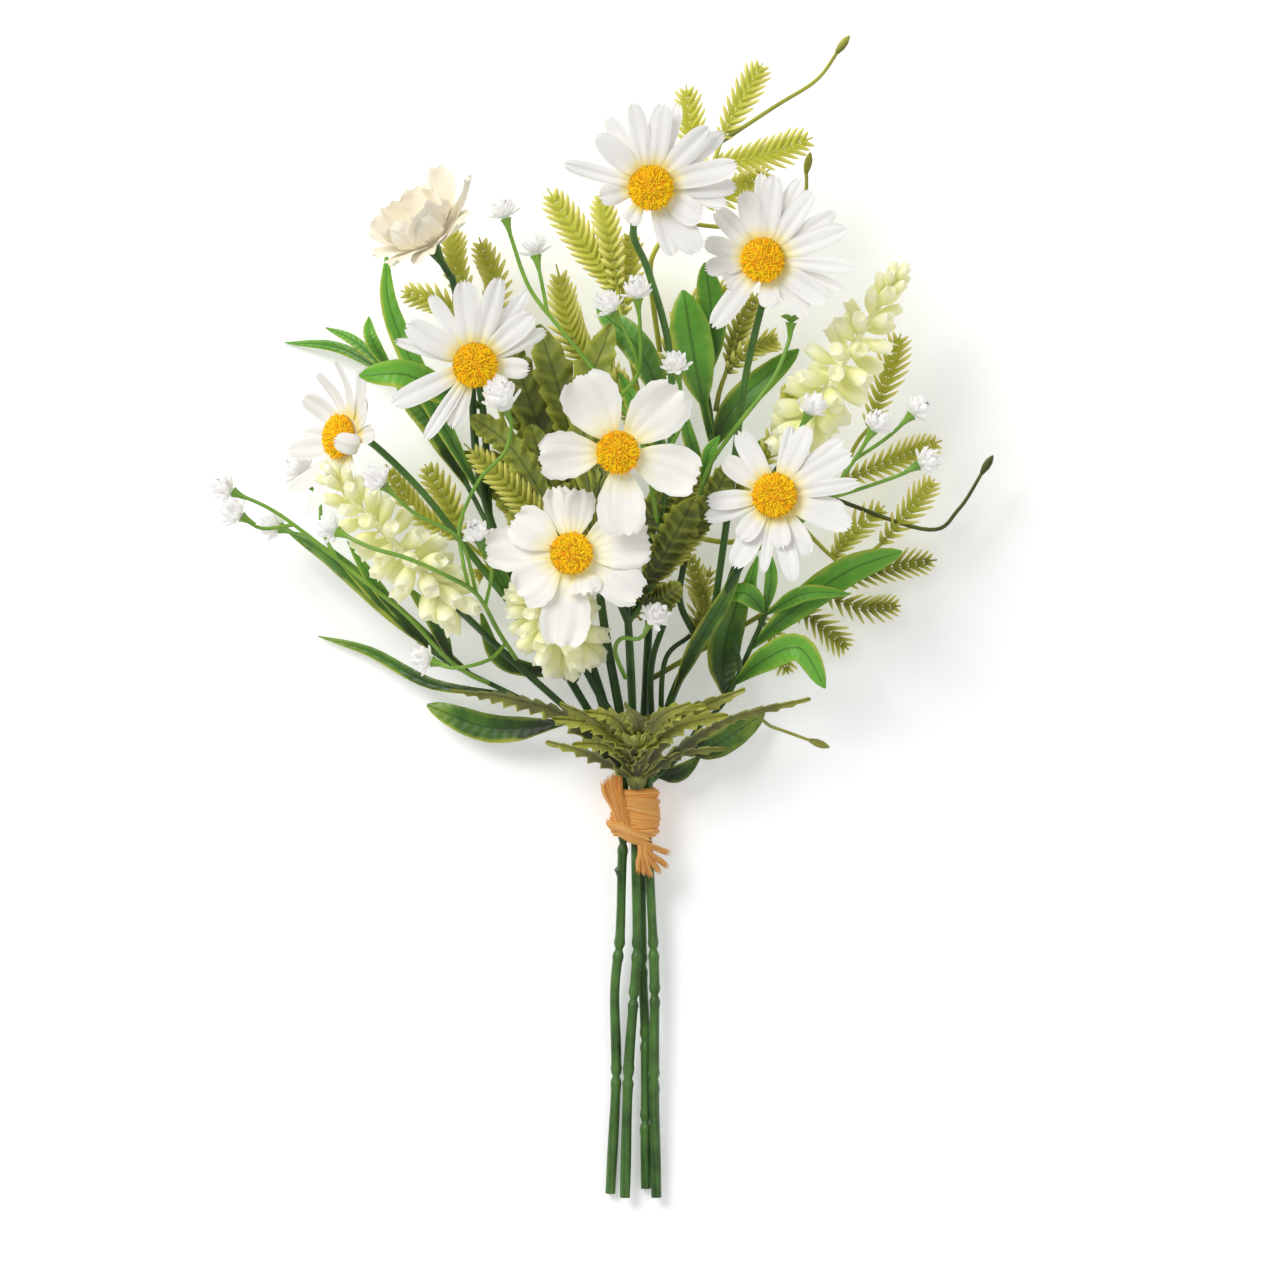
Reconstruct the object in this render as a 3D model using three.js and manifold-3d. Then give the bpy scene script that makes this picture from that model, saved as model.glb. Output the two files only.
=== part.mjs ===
// A bunch of daisies and filler sprays, tied with raffia and laid down on a surface.
// Millimetres. +Z is up, the cut ends of the stems point to -Y and the blooms to +Y.
// Every place below is [ x, y, z ] from the middle of the tie, with the surface at z = 0,
// and the finished group is moved so that its box stands on its own bottom centre.

import * as THREE from 'three';
import { mergeVertices } from 'three/addons/utils/BufferGeometryUtils.js';
import Module from 'manifold-3d';

const wasm = await Module();
wasm.setup();

// Driving dimensions

const GAP = 0.3;
const STEM_RADIUS = 1.6;
const BRANCH_RADIUS = 1.1;
const PETIOLE_RADIUS = 0.8;
const FERN_STEM_RADIUS = 0.9;
const TWIG_RADIUS = 0.75;
const BLADE_THICKNESS = 0.8;

const DAISY_DISC = { radius: 6.9, height: 4.6 };
const COSMOS_DISC = { radius: 6.6, height: 4.2 };
const CREAM_DISC = { radius: 2.6, height: 2.4 };
const RING_CORE = { radius: 6.2, above: 0.75, below: 1.4 };
const CALYX = { length: 5.5, top: 3.2 };
const CREAM_CALYX = { length: 10.5, top: 2.6 };

const BELL = { count: 22, halfWidth: 3.2 };
const HEAD = { radius: 2.5, spike: 4.6 };
const BALL_HEAD = { radius: 4.7, spike: 5.7 };
const TIE = { halfWidth: 6.6, halfHeight: 5.1, thickness: 0.9, middle: 9.7 };

const COLOURS = {
	stem: 0x3f7a34,
	fern: 0xa3a12f,
	olive: 0x5d6b28,
	twig: 0x6bb13c,
	daisy: 0xf3f1ef,
	cosmos: 0xf4f1e9,
	cream: 0xe6dcc4,
	disc: 0xe8a818,
	bells: 0xd9dba6,
	head: 0xeef0e2,
	raffia: 0xdda35c,
};

// Routes of the four main stems, from the cut end to the last point before their bloom

const STEM_LEFT = [
	[ - 7.6, - 117, 1.2 ], [ - 5.8, - 81, 3 ], [ - 6.2, - 55, 4.6 ], [ - 4.6, - 38, 6.2 ],
	[ - 4, - 16.5, 8.2 ], [ - 3.4, 0, 9.7 ], [ - 4.8, 13.5, 10.5 ], [ - 18, 37.5, 13 ],
	[ - 34.5, 64.5, 17 ], [ - 46.5, 100.5, 33 ],
];
const STEM_FRONT = [
	[ - 3.1, - 118, 3.6 ], [ - 2.1, - 81, 5.2 ], [ - 0.4, - 56.7, 7 ], [ 0.6, - 42, 8 ],
	[ 0.3, - 16.5, 10.6 ], [ 0, 0, 12 ], [ - 0.3, 13.5, 13.8 ], [ - 0.9, 34.5, 22 ],
	[ - 2.1, 58.5, 35 ], [ - 4, 86, 46 ],
];
const STEM_BACK = [
	[ 3.3, - 115.5, 1.2 ], [ 3.2, - 95, 1.9 ], [ 3.2, - 70, 2.3 ], [ 2.2, - 47, 3.3 ],
	[ 1.8, - 19.5, 5.6 ], [ 0.2, 0, 7.4 ], [ 1.5, 13.5, 8.3 ], [ 3, 34.5, 9 ],
	[ 4.5, 64.5, 10 ], [ 6, 109.5, 12 ], [ 7.5, 139.5, 14 ],
];
const STEM_RIGHT = [
	[ 6.5, - 118, 2.9 ], [ 5.8, - 82, 4.9 ], [ 6, - 56.3, 5.8 ], [ 5.6, - 41.7, 6.6 ],
	[ 4.3, - 16.5, 8.6 ], [ 3.4, 0, 9.7 ], [ 5.1, 13.5, 11 ], [ 11.1, 35, 17 ],
	[ 19.5, 52.5, 22 ], [ 30, 72, 34 ],
];

// Blooms: centre, direction that they face, and petals as
// [ direction in degrees, length, half width, lift in degrees, layer ]

const DAISY_TOP = {
	at: [ 4.7, 185.8, 66 ],
	face: [ 0, - 0.2, 0.98 ],
	petals: [
		[ 81, 25.4, 3.5, 4, 1 ], [ 72, 26, 2.8, - 6, 0 ], [ 46, 25.2, 3.6, 4, 1 ], [ 36, 27, 3, - 6, 0 ],
		[ 15, 26.8, 3.6, 5, 1 ], [ - 1, 25.6, 3.2, - 5, 0 ], [ - 13, 23.6, 2.4, - 3, 0 ],
		[ - 32, 18.4, 4, 18, 1 ], [ - 54, 24.4, 4.4, 6, 0 ], [ - 72, 22, 3.2, 2, 0 ],
		[ - 122, 13.4, 3, 25, 0 ], [ - 170, 16.5, 3.4, 25, 0 ], [ 165, 27, 2.5, 0, 1 ],
		[ 136, 22.6, 3.5, 8, 1 ], [ 122, 24.4, 3, - 4, 0 ], [ 102, 26, 3, 4, 1 ],
	],
};
const DAISY_UPPER_RIGHT = {
	at: [ 38.3, 165.2, 56 ],
	face: [ - 0.25, - 0.15, 0.95 ],
	petals: [
		[ 82, 26, 3.4, 4, 1 ], [ 93, 25.9, 2.4, - 4, 0 ], [ 105, 21.6, 4.1, 6, 1 ], [ 66, 26.4, 3, - 4, 0 ],
		[ 54, 25.8, 3.2, 4, 1 ], [ 34, 26, 2.8, - 4, 0 ], [ 21, 27.6, 3.4, 5, 1 ], [ - 4, 28.6, 2.4, 2, 1 ],
		[ - 21, 26, 2.4, - 6, 0 ], [ - 31, 23.4, 3.6, 4, 1 ], [ - 52, 22.4, 3, 0, 0 ],
		[ - 80, 15, 3.4, 10, 1 ], [ - 127, 25.9, 3.4, 3, 1 ], [ - 148, 15, 3.2, 20, 0 ],
		[ - 170, 18.4, 3, 12, 1 ], [ 165, 19.4, 3, 8, 0 ], [ 135, 21, 3.4, 2, 1 ],
	],
};
const DAISY_LEFT = {
	at: [ - 47.5, 133.9, 58 ],
	face: [ 0.12, - 0.1, 0.98 ],
	petals: [
		[ 74, 27.3, 3.4, 4, 1 ], [ 98, 25.7, 4, 5, 1 ], [ 122, 24.7, 2.5, 2, 0 ], [ 149, 23.9, 4, 5, 1 ],
		[ 163, 24.8, 2, - 3, 0 ], [ - 155, 27.4, 3.5, 2, 1 ], [ - 124, 26.8, 2.2, 0, 1 ],
		[ - 110, 20.4, 2.8, 4, 0 ], [ - 5, 16.8, 3.2, 6, 1 ], [ 25, 24, 2.5, 3, 0 ],
		[ 41, 23.4, 3.5, 6, 1 ], [ 54, 27.3, 2.6, - 2, 0 ],
	],
};
const DAISY_FAR_LEFT = {
	at: [ - 87, 113.3, 34 ],
	face: [ - 0.767, 0.102, 0.634 ],
	petals: [
		[ 187, 21.6, 3.4, 35, 1 ], [ 168, 18, 2.8, 24, 0 ], [ 131, 20.6, 3.7, 35, 1 ],
		[ 103, 23, 2.6, 32, 0 ], [ 68, 26, 2.8, 33, 1 ], [ 50, 26, 2.8, 20, 0 ], [ 22, 23, 2.6, 26, 1 ],
		[ - 4, 18, 3, 12, 0 ], [ - 26, 17, 3.2, 112, 1 ], [ - 72, 19, 2.8, 4, 1 ],
		[ - 95, 23, 2.6, 6, 0 ], [ - 118, 26.2, 3.2, 15, 1 ], [ - 140, 25.6, 3, 30, 0 ],
	],
};
const DAISY_RIGHT = {
	at: [ 41.4, 95, 60 ],
	face: [ - 0.12, 0.1, 0.98 ],
	petals: [
		[ 119, 22.4, 3.4, 5, 1 ], [ 144, 19.4, 3.4, 8, 0 ], [ - 176, 20.7, 3, 5, 1 ], [ - 163, 22.2, 2.7, 0, 0 ],
		[ - 129, 17.2, 3.4, 10, 1 ], [ - 121, 24.7, 3.8, - 3, 0 ], [ - 99, 23.5, 1.8, 0, 0 ],
		[ - 81, 16.6, 3, 10, 1 ], [ - 78, 26.4, 3, 0, 0 ], [ - 61, 20.7, 3.2, - 2, 0 ],
		[ - 23, 25, 3.8, 4, 1 ], [ - 12, 21.7, 3, - 4, 0 ], [ 8, 25.7, 2.4, 3, 1 ], [ 28, 26.3, 3.5, 5, 1 ],
		[ 40, 26.6, 3, - 4, 0 ], [ 64, 23.4, 3.4, 2, 1 ], [ 77, 21.9, 2, 0, 0 ],
	],
};
const COSMOS_UPPER = {
	at: [ - 5, 107.9, 67 ],
	face: [ 0, - 0.15, 0.98 ],
	petals: [
		[ 117, 26.2, 8.6, 7, 1 ], [ 46, 26.8, 8.2, 7, 0 ], [ - 18, 25.4, 7.4, 6, 1 ],
		[ - 86, 25.5, 7.2, 5, 0 ], [ - 176, 24, 7.2, 7, 1 ],
	],
};
const COSMOS_LOWER = {
	at: [ - 18.8, 77.8, 56 ],
	face: [ 0, 0.15, 0.98 ],
	petals: [
		[ 103, 21.4, 4.6, 5, 0 ], [ 80, 20.2, 4.6, 8, 1 ], [ 28, 24.6, 6.4, 3, 0 ], [ 4, 24.2, 5.8, 6, 1 ],
		[ - 30, 24.4, 6.2, - 3, 0 ], [ - 68, 13.6, 5, 20, 1 ], [ - 96, 28, 7.4, - 4, 0 ],
		[ - 142, 20.4, 7, 8, 1 ], [ 176, 25.9, 6.6, 3, 0 ], [ 148, 20.8, 6.6, 7, 1 ],
	],
};
const CREAM_BLOOM = {
	at: [ - 61.7, 171.9, 45 ],
	face: [ - 0.458, 0.763, 0.458 ],
	petals: [
		[ 30, 24, 4.8, 50, 1 ], [ 75, 20, 4.8, 48, 0 ], [ 125, 19.2, 5, 48, 0 ], [ 172, 19, 4.4, 50, 1 ],
		[ 188, 18, 3.6, 22, 0 ], [ 237, 19, 4.4, 20, 0 ], [ 282, 17, 4.2, 12, 0 ], [ 298, 20, 4, 58, 1 ],
		[ 12, 24.5, 3.6, 34, 0 ], [ 332, 18.5, 4.4, 22, 0 ],
	],
};

// Branches, each starting on the stem that carries it

const BRANCH_FAR_LEFT = [ [ - 22.5, 43.5, 17 ], [ - 46, 74, 25 ], [ - 64, 97, 27 ] ];
const BRANCH_CREAM = [ [ - 42, 88.5, 30 ], [ - 46, 124.5, 35 ], [ - 54, 158, 40 ] ];
const BRANCH_BELLS_LEFT = [ [ - 10.5, 19.5, 12 ], [ - 34.5, 44, 19 ], [ - 49, 58, 34 ] ];
const BRANCH_LEAVES_LEFT = [
	[ - 11.1, 20, 12 ], [ - 34.5, 34.5, 13 ], [ - 55.5, 45, 14 ], [ - 66, 52.5, 15 ],
];
const BRANCH_THIN_LEFT = [ [ - 39, 81, 22 ], [ - 55.5, 107.4, 17 ], [ - 74.1, 133.5, 12 ] ];
const BRANCH_COSMOS_LOWER = [ [ - 2.1, 58.5, 36 ], [ - 6, 66, 42 ], [ - 13, 73, 46 ] ];
const BRANCH_DAISY_TOP = [
	[ - 2.1, 58.5, 36 ], [ 5, 70, 35 ], [ 9, 94.5, 35 ], [ 11.1, 118.5, 38 ], [ 9.9, 141, 44 ],
	[ 4, 162, 50 ], [ - 0.5, 174, 55 ],
];
const BRANCH_BELLS_LOW = [ [ - 1.5, 22.5, 17 ], [ - 9, 33, 18 ], [ - 15.5, 44.5, 21 ] ];
const BRANCH_UPPER_RIGHT = [ [ 24.3, 61.5, 27 ], [ 28.5, 94.5, 30 ], [ 33, 130.5, 38 ], [ 38.5, 155, 45 ] ];
const BRANCH_BELLS_RIGHT = [ [ 27, 67.5, 31 ], [ 37.5, 94.5, 31 ], [ 45, 107, 36 ] ];
const BRANCH_UPRIGHT = [
	[ 16.5, 54.3, 20 ], [ 13.8, 63.3, 21 ], [ 14.4, 73.5, 24 ], [ 18, 88.5, 26 ], [ 23.1, 112.5, 28 ],
	[ 20.7, 132.9, 28 ],
];
const BRANCH_LEAVES_RIGHT = [
	[ 4.8, 9, 10.6 ], [ 13.5, 17.1, 10 ], [ 19.5, 26.1, 12 ], [ 27.6, 34.5, 15 ], [ 36, 52.5, 20 ],
	[ 39.9, 61.5, 24 ],
];

// Smooth leaves: route and half width, in the order of the branch that they grow on

const LEAVES_LEFT = {
	main: [
		{
			route: [ [ - 40.5, 94.5, 31 ], [ - 61.5, 124.5, 28 ], [ - 73.5, 151.5, 28 ], [ - 75, 169.5, 28 ] ],
			half: 3.2,
		},
		{ route: [ [ - 28.5, 34.5, 14 ], [ - 40.5, 46.5, 15 ], [ - 47.1, 61.5, 18 ] ], half: 2.6 },
	],
	cream: [
		{ route: [ [ - 46.5, 122, 35 ], [ - 58, 127, 46 ], [ - 69, 131.5, 51 ], [ - 82, 131, 50 ] ], half: 4.5 },
	],
	thin: [
		{ route: [ [ - 74, 133.5, 12 ], [ - 90, 141.6, 6 ], [ - 107.4, 143.7, - 0.1 ] ], half: 1.6 },
		{ route: [ [ - 74, 133.5, 12 ], [ - 84.9, 143.1, 9 ], [ - 94.5, 147.9, 7 ] ], half: 1.6 },
		{ route: [ [ - 73, 132.5, 12 ], [ - 80.1, 144, 15 ], [ - 81, 150.9, 13 ] ], half: 2 },
		{ route: [ [ - 50, 99, 19 ], [ - 61.5, 118.5, 17 ], [ - 72, 129, 17 ] ], half: 4.2 },
	],
	leaves: [
		{
			route: [ [ - 49.5, 41, 14 ], [ - 70.5, 58.5, 16 ], [ - 91.5, 76.5, 13 ], [ - 107.1, 86.4, 8 ] ],
			half: 3,
		},
		{ route: [ [ - 58.5, 48, 15 ], [ - 76.5, 64.5, 19 ], [ - 93, 81, 19 ] ], half: 2.6 },
		{ route: [ [ - 64.5, 52.5, 15 ], [ - 79, 70, 22 ], [ - 87, 82.5, 23 ] ], half: 1.8 },
		{ route: [ [ - 39, 35, 13 ], [ - 61.5, 39, 8 ], [ - 81, 48.9, 4 ], [ - 97.2, 53.7, 1.5 ] ], half: 1.8 },
		{ route: [ [ - 22.5, 24.5, 12.5 ], [ - 43.5, 25.5, 9 ], [ - 63.6, 32.7, 6 ] ], half: 4.3 },
		{ route: [ [ - 54, 46.5, 14 ], [ - 60.9, 58.5, 20 ], [ - 69, 69, 23 ] ], half: 2.4 },
	],
};
const LEAVES_FRONT = {
	top: [
		{ route: [ [ 10.8, 118.5, 38 ], [ 1.5, 139, 38 ], [ - 11.4, 152.1, 35 ] ], half: 4.4 },
		{ route: [ [ 10.2, 108, 36 ], [ 2, 119, 37 ], [ - 5, 132.9, 37 ] ], half: 3.2 },
	],
};
const LEAVES_RIGHT = {
	upright: [
		{ route: [ [ 22.5, 112.5, 28 ], [ 18.6, 133.5, 32 ], [ 14.4, 157.5, 35 ] ], half: 5.6 },
		{ route: [ [ 20.8, 132, 28 ], [ 23.1, 148.5, 30 ], [ 21, 165.9, 33 ] ], half: 4.4 },
		{ route: [ [ 19.5, 100.5, 27 ], [ 16.5, 112.5, 33 ], [ 14.1, 123, 33 ] ], half: 2 },
		{ route: [ [ 19, 97, 27 ], [ 22, 108, 33 ], [ 25.5, 114, 33 ] ], half: 2 },
		{ route: [ [ 23, 110, 28 ], [ 31.5, 124.5, 23 ], [ 49.5, 140.4, 23 ] ], half: 4.2 },
		{ route: [ [ 17.8, 84, 25 ], [ 26, 100, 23 ], [ 40, 112, 19 ], [ 58, 113.4, 16 ] ], half: 2.2 },
	],
	leaves: [
		{ route: [ [ 35, 49.5, 19 ], [ 49.5, 63, 26 ], [ 64.5, 73.5, 30 ], [ 80.4, 79.2, 29 ] ], half: 4.6 },
		{ route: [ [ 39.4, 60.9, 24 ], [ 51, 66.5, 32 ], [ 64.8, 66.3, 33 ] ], half: 2.4 },
		{ route: [ [ 39, 60, 24 ], [ 34.5, 67, 27 ], [ 37, 78, 28 ] ], half: 2.2 },
		{ route: [ [ 39.9, 61.5, 24 ], [ 41, 71, 29 ], [ 40, 80, 32 ] ], half: 1.9 },
		{ route: [ [ 27.6, 34.5, 15 ], [ 27, 50, 14 ], [ 33, 70, 16 ] ], half: 5 },
		{ route: [ [ 30, 39, 16.5 ], [ 39, 46.5, 26 ], [ 49.5, 50.1, 31 ], [ 57.3, 38, 28 ] ], half: 3.6 },
		{ route: [ [ 15, 18.5, 10.5 ], [ 25.5, 21, 9 ], [ 39.6, 30.3, 7 ] ], half: 4.2 },
		{ route: [ [ 7, 10.5, 10.4 ], [ 13.5, 11.5, 8 ], [ 21, 12, 7 ] ], half: 2.6 },
	],
};

// Saw-edged leaves round the two broad-petalled blooms

const SAW_LEAVES = [
	{ on: 'lower', route: [ [ - 12.5, 72.5, 46 ], [ - 24, 95, 38 ], [ - 31.5, 117, 38 ] ], half: 6 },
	{ on: 'lower', route: [ [ - 12, 72, 45 ], [ - 25, 108, 33 ], [ - 39, 127, 30 ] ], half: 5.4 },
	{
		on: 'lower', half: 5,
		route: [ [ - 11, 71, 45 ], [ - 10.5, 95, 41 ], [ - 11.5, 118.5, 39 ], [ - 13.5, 139, 37 ] ],
	},
	{
		on: 'lower', half: 4.8,
		route: [ [ - 13, 73, 46 ], [ - 24, 90, 31 ], [ - 38, 103, 25 ], [ - 54, 108.7, 25 ] ],
	},
	{ on: 'front', route: [ [ - 2.4, 62, 38 ], [ 8, 77, 38 ], [ 17.5, 94.5, 38 ] ], half: 6 },
	{ on: 'front', route: [ [ - 3, 66, 40 ], [ 6, 64, 41 ], [ 14, 69, 40 ] ], half: 4.6 },
];

// Whorl of olive leaves over the tie, and its tendril

const WHORL_HUB = { at: [ 0.5, 10.2, 16.6 ], half: [ 3.2, 3.2, 1 ] };
const WHORL_LEAVES = [
	{ route: [ [ - 1, 11.5, 16.8 ], [ - 19.5, 28.5, 24 ], [ - 38, 35, 26 ], [ - 55.5, 37.5, 25 ] ], half: 4.3 },
	{ route: [ [ - 1, 11, 16.6 ], [ - 13.5, 18, 19 ], [ - 27, 21.9, 17 ] ], half: 3.4 },
	{ route: [ [ 0, 11.5, 17 ], [ - 10.5, 27, 30 ], [ - 22.5, 33.9, 37 ] ], half: 4 },
	{ route: [ [ 0.5, 11.5, 17 ], [ 1.5, 26, 31 ], [ - 3, 34, 41 ] ], half: 4.3 },
	{ route: [ [ 1.5, 11.5, 17 ], [ 13.5, 28.5, 29 ], [ 33, 38.1, 33 ] ], half: 4 },
	{ route: [ [ 2, 11, 16.8 ], [ 25.5, 27.5, 23 ], [ 53.1, 35, 20 ] ], half: 3 },
	{ route: [ [ 2, 10.5, 16.6 ], [ 13.5, 18, 18.5 ], [ 27.9, 20, 16 ] ], half: 2.8 },
	{ route: [ [ 1.2, 11.5, 17 ], [ 6, 27.9, 33 ], [ 16.5, 34, 40 ] ], half: 3.4 },
];
const WHORL_TENDRIL = [ [ 2, 10.5, 16.8 ], [ 31.5, 29, 20.5 ], [ 42, 26, 18 ], [ 54.6, 21.5, 16 ] ];

// Fern sprays: stem, fronds as route and half width, side branches and tendrils

const FERN_TOP = {
	stem: [
		[ 7.5, 140.1, 14.1 ], [ 4.7, 162, 21 ], [ 6.6, 171, 26 ], [ 16.5, 184.5, 34 ], [ 23.1, 195, 39 ],
		[ 26.1, 202.5, 42 ],
	],
	fronds: [
		{ route: [ [ 20, 190, 36 ], [ 17.1, 204, 38 ], [ 15.3, 218.7, 37 ] ], half: 5 },
		{ route: [ [ 26.1, 202.5, 42 ], [ 31.5, 213, 46 ], [ 38.1, 224.4, 46 ] ], half: 5 },
		{ route: [ [ 23, 194.6, 38.8 ], [ 37.5, 197.1, 43 ], [ 53.1, 202.5, 43 ] ], half: 5.5 },
		{ route: [ [ 16, 184, 33.5 ], [ 29, 187, 33 ], [ 40.5, 194, 31 ] ], half: 5 },
	],
	tendrils: [
		[ [ 26.1, 202.5, 42 ], [ 42, 211.5, 48 ], [ 54, 219, 50 ], [ 60.9, 228.3, 50 ] ],
		[ [ 12, 178, 30 ], [ 32, 177, 30 ], [ 49.5, 184, 33 ], [ 51.6, 194.1, 36 ] ],
	],
};
const FERN_UPPER_LEFT = {
	on: 'back',
	stem: [ [ 6, 103.5, 12 ], [ 1.5, 124.5, 20 ], [ - 3, 145.5, 28 ], [ - 5.4, 159, 31 ] ],
	fronds: [
		{ route: [ [ - 5, 157, 30.6 ], [ - 15, 171, 34 ], [ - 26.4, 188.1, 34 ] ], half: 5.5 },
		{ route: [ [ - 5.4, 159, 31 ], [ - 7.5, 172.5, 36 ], [ - 10.5, 187, 35 ] ], half: 4.5 },
		{ route: [ [ - 3.9, 150, 29 ], [ - 1.5, 163.5, 29 ], [ - 1.5, 175.5, 27 ] ], half: 4.2 },
		{ route: [ [ 1.2, 126, 20.5 ], [ - 17, 141, 27 ], [ - 23.7, 165.3, 34 ] ], half: 5.6 },
		{ route: [ [ 2.2, 121, 18.7 ], [ - 8, 131, 25 ], [ - 14, 141, 27 ] ], half: 4 },
	],
};
const FERN_LEFT = {
	on: 'back',
	stem: [
		[ 3.9, 58.5, 10 ], [ - 13.5, 82.5, 9 ], [ - 34.5, 106.5, 11 ], [ - 46.5, 139.5, 19 ],
		[ - 49.5, 153, 23 ],
	],
	side: [ [ - 13.5, 82.5, 10 ], [ - 40.5, 76.5, 11 ], [ - 54, 84, 14 ] ],
	fronds: [
		{ route: [ [ - 47.1, 142.5, 20 ], [ - 42, 157.5, 26 ], [ - 47.1, 174, 27 ] ], half: 4.8 },
		{ route: [ [ - 49.5, 153, 23 ], [ - 54, 165, 23 ], [ - 55.5, 177, 20 ] ], half: 4.8 },
		{ route: [ [ - 48, 146.5, 21 ], [ - 58, 153.9, 20 ], [ - 71.1, 158.5, 17 ] ], half: 4.8 },
	],
	sideFronds: [
		{ route: [ [ - 54, 84, 14 ], [ - 57, 94.5, 15 ], [ - 64, 106, 13 ] ], half: 4.6 },
		{ route: [ [ - 54, 84, 14 ], [ - 66, 91.5, 14 ], [ - 76, 106, 11 ] ], half: 4.2 },
		{ route: [ [ - 41, 76.6, 11 ], [ - 54, 69, 10 ], [ - 64, 65.5, 7 ] ], half: 3.6 },
	],
};
const FERN_RIGHT_HIGH = {
	on: 'back',
	stem: [ [ 6, 88.5, 11.5 ], [ 31.5, 82.5, 10 ], [ 57.6, 93.6, 12 ], [ 66.6, 111, 17 ], [ 71.1, 117, 19 ] ],
	side: [ [ 49.5, 88.5, 11 ], [ 64.5, 75, 12.5 ], [ 75, 81.9, 14 ] ],
	fronds: [
		{ route: [ [ 71.1, 117, 19 ], [ 75.9, 131, 22 ], [ 80.4, 145.2, 22 ] ], half: 5.4 },
		{ route: [ [ 62, 101, 14 ], [ 79.5, 107.5, 8 ], [ 94, 113.7, 0 ] ], half: 5 },
	],
	sideFronds: [
		{ route: [ [ 75, 81.9, 14 ], [ 83.1, 91.5, 17 ], [ 90.9, 101.4, 18 ] ], half: 4.8 },
		{ route: [ [ 60, 77.5, 12.5 ], [ 66, 85, 14 ], [ 76, 93.4, 13 ] ], half: 5 },
	],
	tendrils: [
		[ [ 75, 81.9, 14 ], [ 88.5, 86, 17 ], [ 98, 92, 19 ], [ 105.9, 104.4, 19 ] ],
	],
};
const FERN_RIGHT_LOW = {
	on: 'back',
	stem: [ [ 3.9, 40.5, 9.5 ], [ 25.5, 52.5, 7.5 ], [ 46.5, 64.5, 7 ], [ 61.5, 70, 7 ] ],
	fronds: [
		{ route: [ [ 61.5, 70, 7 ], [ 76.5, 74.1, 6 ], [ 92.4, 77.1, 3 ] ], half: 5 },
		{ route: [ [ 55, 68, 7 ], [ 69, 62.5, 5.5 ], [ 81.3, 63, 2.5 ] ], half: 4.6 },
		{ route: [ [ 46.5, 64.5, 7 ], [ 57, 57, 4.5 ], [ 65.4, 49.5, 2 ] ], half: 4.8 },
		{ route: [ [ 38, 59.6, 7.2 ], [ 44, 51, 4 ], [ 47, 42, 0 ] ], half: 4.2 },
		{ route: [ [ 19.5, 49, 8 ], [ 19.5, 61.5, 7 ], [ 23.1, 75, 6 ] ], half: 4.2 },
	],
};
const FERN_MID = {
	on: 'upright',
	stem: [ [ 22.4, 121, 28 ], [ 25.6, 128, 26 ], [ 28.5, 136, 26 ] ],
	fronds: [
		{ route: [ [ 28.5, 136, 26 ], [ 31.5, 146, 25.5 ], [ 37, 157, 27 ] ], half: 5 },
		{ route: [ [ 27.4, 133, 26 ], [ 35, 140, 31 ], [ 43, 143, 33 ] ], half: 4.2 },
	],
};

// Bright twigs: trunk, side twigs and the head at each end

const TWIG_LEFT = {
	on: 'bellsLeft',
	trunk: [
		[ - 37.5, 46.5, 21 ], [ - 41, 55, 33 ], [ - 47, 66, 48 ], [ - 55.5, 71.4, 57 ], [ - 66.9, 76.5, 62 ],
		[ - 78, 79.8, 62 ], [ - 88, 84.5, 58 ],
	],
	sides: [
		[ [ - 47, 66, 48 ], [ - 51.9, 82.2, 58 ], [ - 64.8, 89.7, 62 ], [ - 74, 98, 65 ] ],
		[ [ - 44, 63, 43 ], [ - 42.6, 73.5, 51 ], [ - 45.9, 82, 55 ] ],
		[
			[ - 49.5, 68, 51 ], [ - 51, 76, 54.5 ], [ - 52, 87, 52 ], [ - 46, 99.9, 57 ], [ - 38.4, 108, 60 ],
			[ - 36.4, 116, 64 ], [ - 38, 120.5, 66 ],
		],
		[ [ - 40, 51, 28 ], [ - 44, 46.5, 33 ], [ - 54, 44.1, 36 ], [ - 61, 46, 35 ] ],
	],
	heads: [ 'head_04', 'head_05', 'head_06', 'head_09', 'head_07' ],
};
const TWIG_FAR_LEFT = {
	on: 'leaves',
	trunk: [
		[ - 44, 39.4, 13.4 ], [ - 51, 42.5, 17.5 ], [ - 58, 48, 21 ], [ - 69, 60, 25 ], [ - 81.9, 70.5, 28 ],
		[ - 98.1, 83.7, 30 ], [ - 109.5, 91.8, 31 ], [ - 121, 97, 30 ],
	],
	sides: [
		[ [ - 103, 87, 30.5 ], [ - 112, 86, 34 ], [ - 118, 89.5, 36 ] ],
		[ [ - 98.1, 83.7, 30 ], [ - 103.5, 84.9, 26 ], [ - 107, 86.3, 24 ] ],
		[ [ - 90, 77, 29.4 ], [ - 94.5, 86, 27 ], [ - 95.5, 94.5, 22 ], [ - 100.5, 102, 20 ] ],
	],
	heads: [ 'head_01', 'head_02', 'head_03', 'head_10' ],
};
const TWIG_LOW = {
	on: 'front',
	trunk: [ [ - 1.2, 43, 26 ], [ - 6, 49, 36 ], [ - 4, 53, 42 ], [ 1.5, 53, 44 ], [ 5, 58, 49 ] ],
	sides: [],
	heads: [ 'head_08' ],
};
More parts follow.
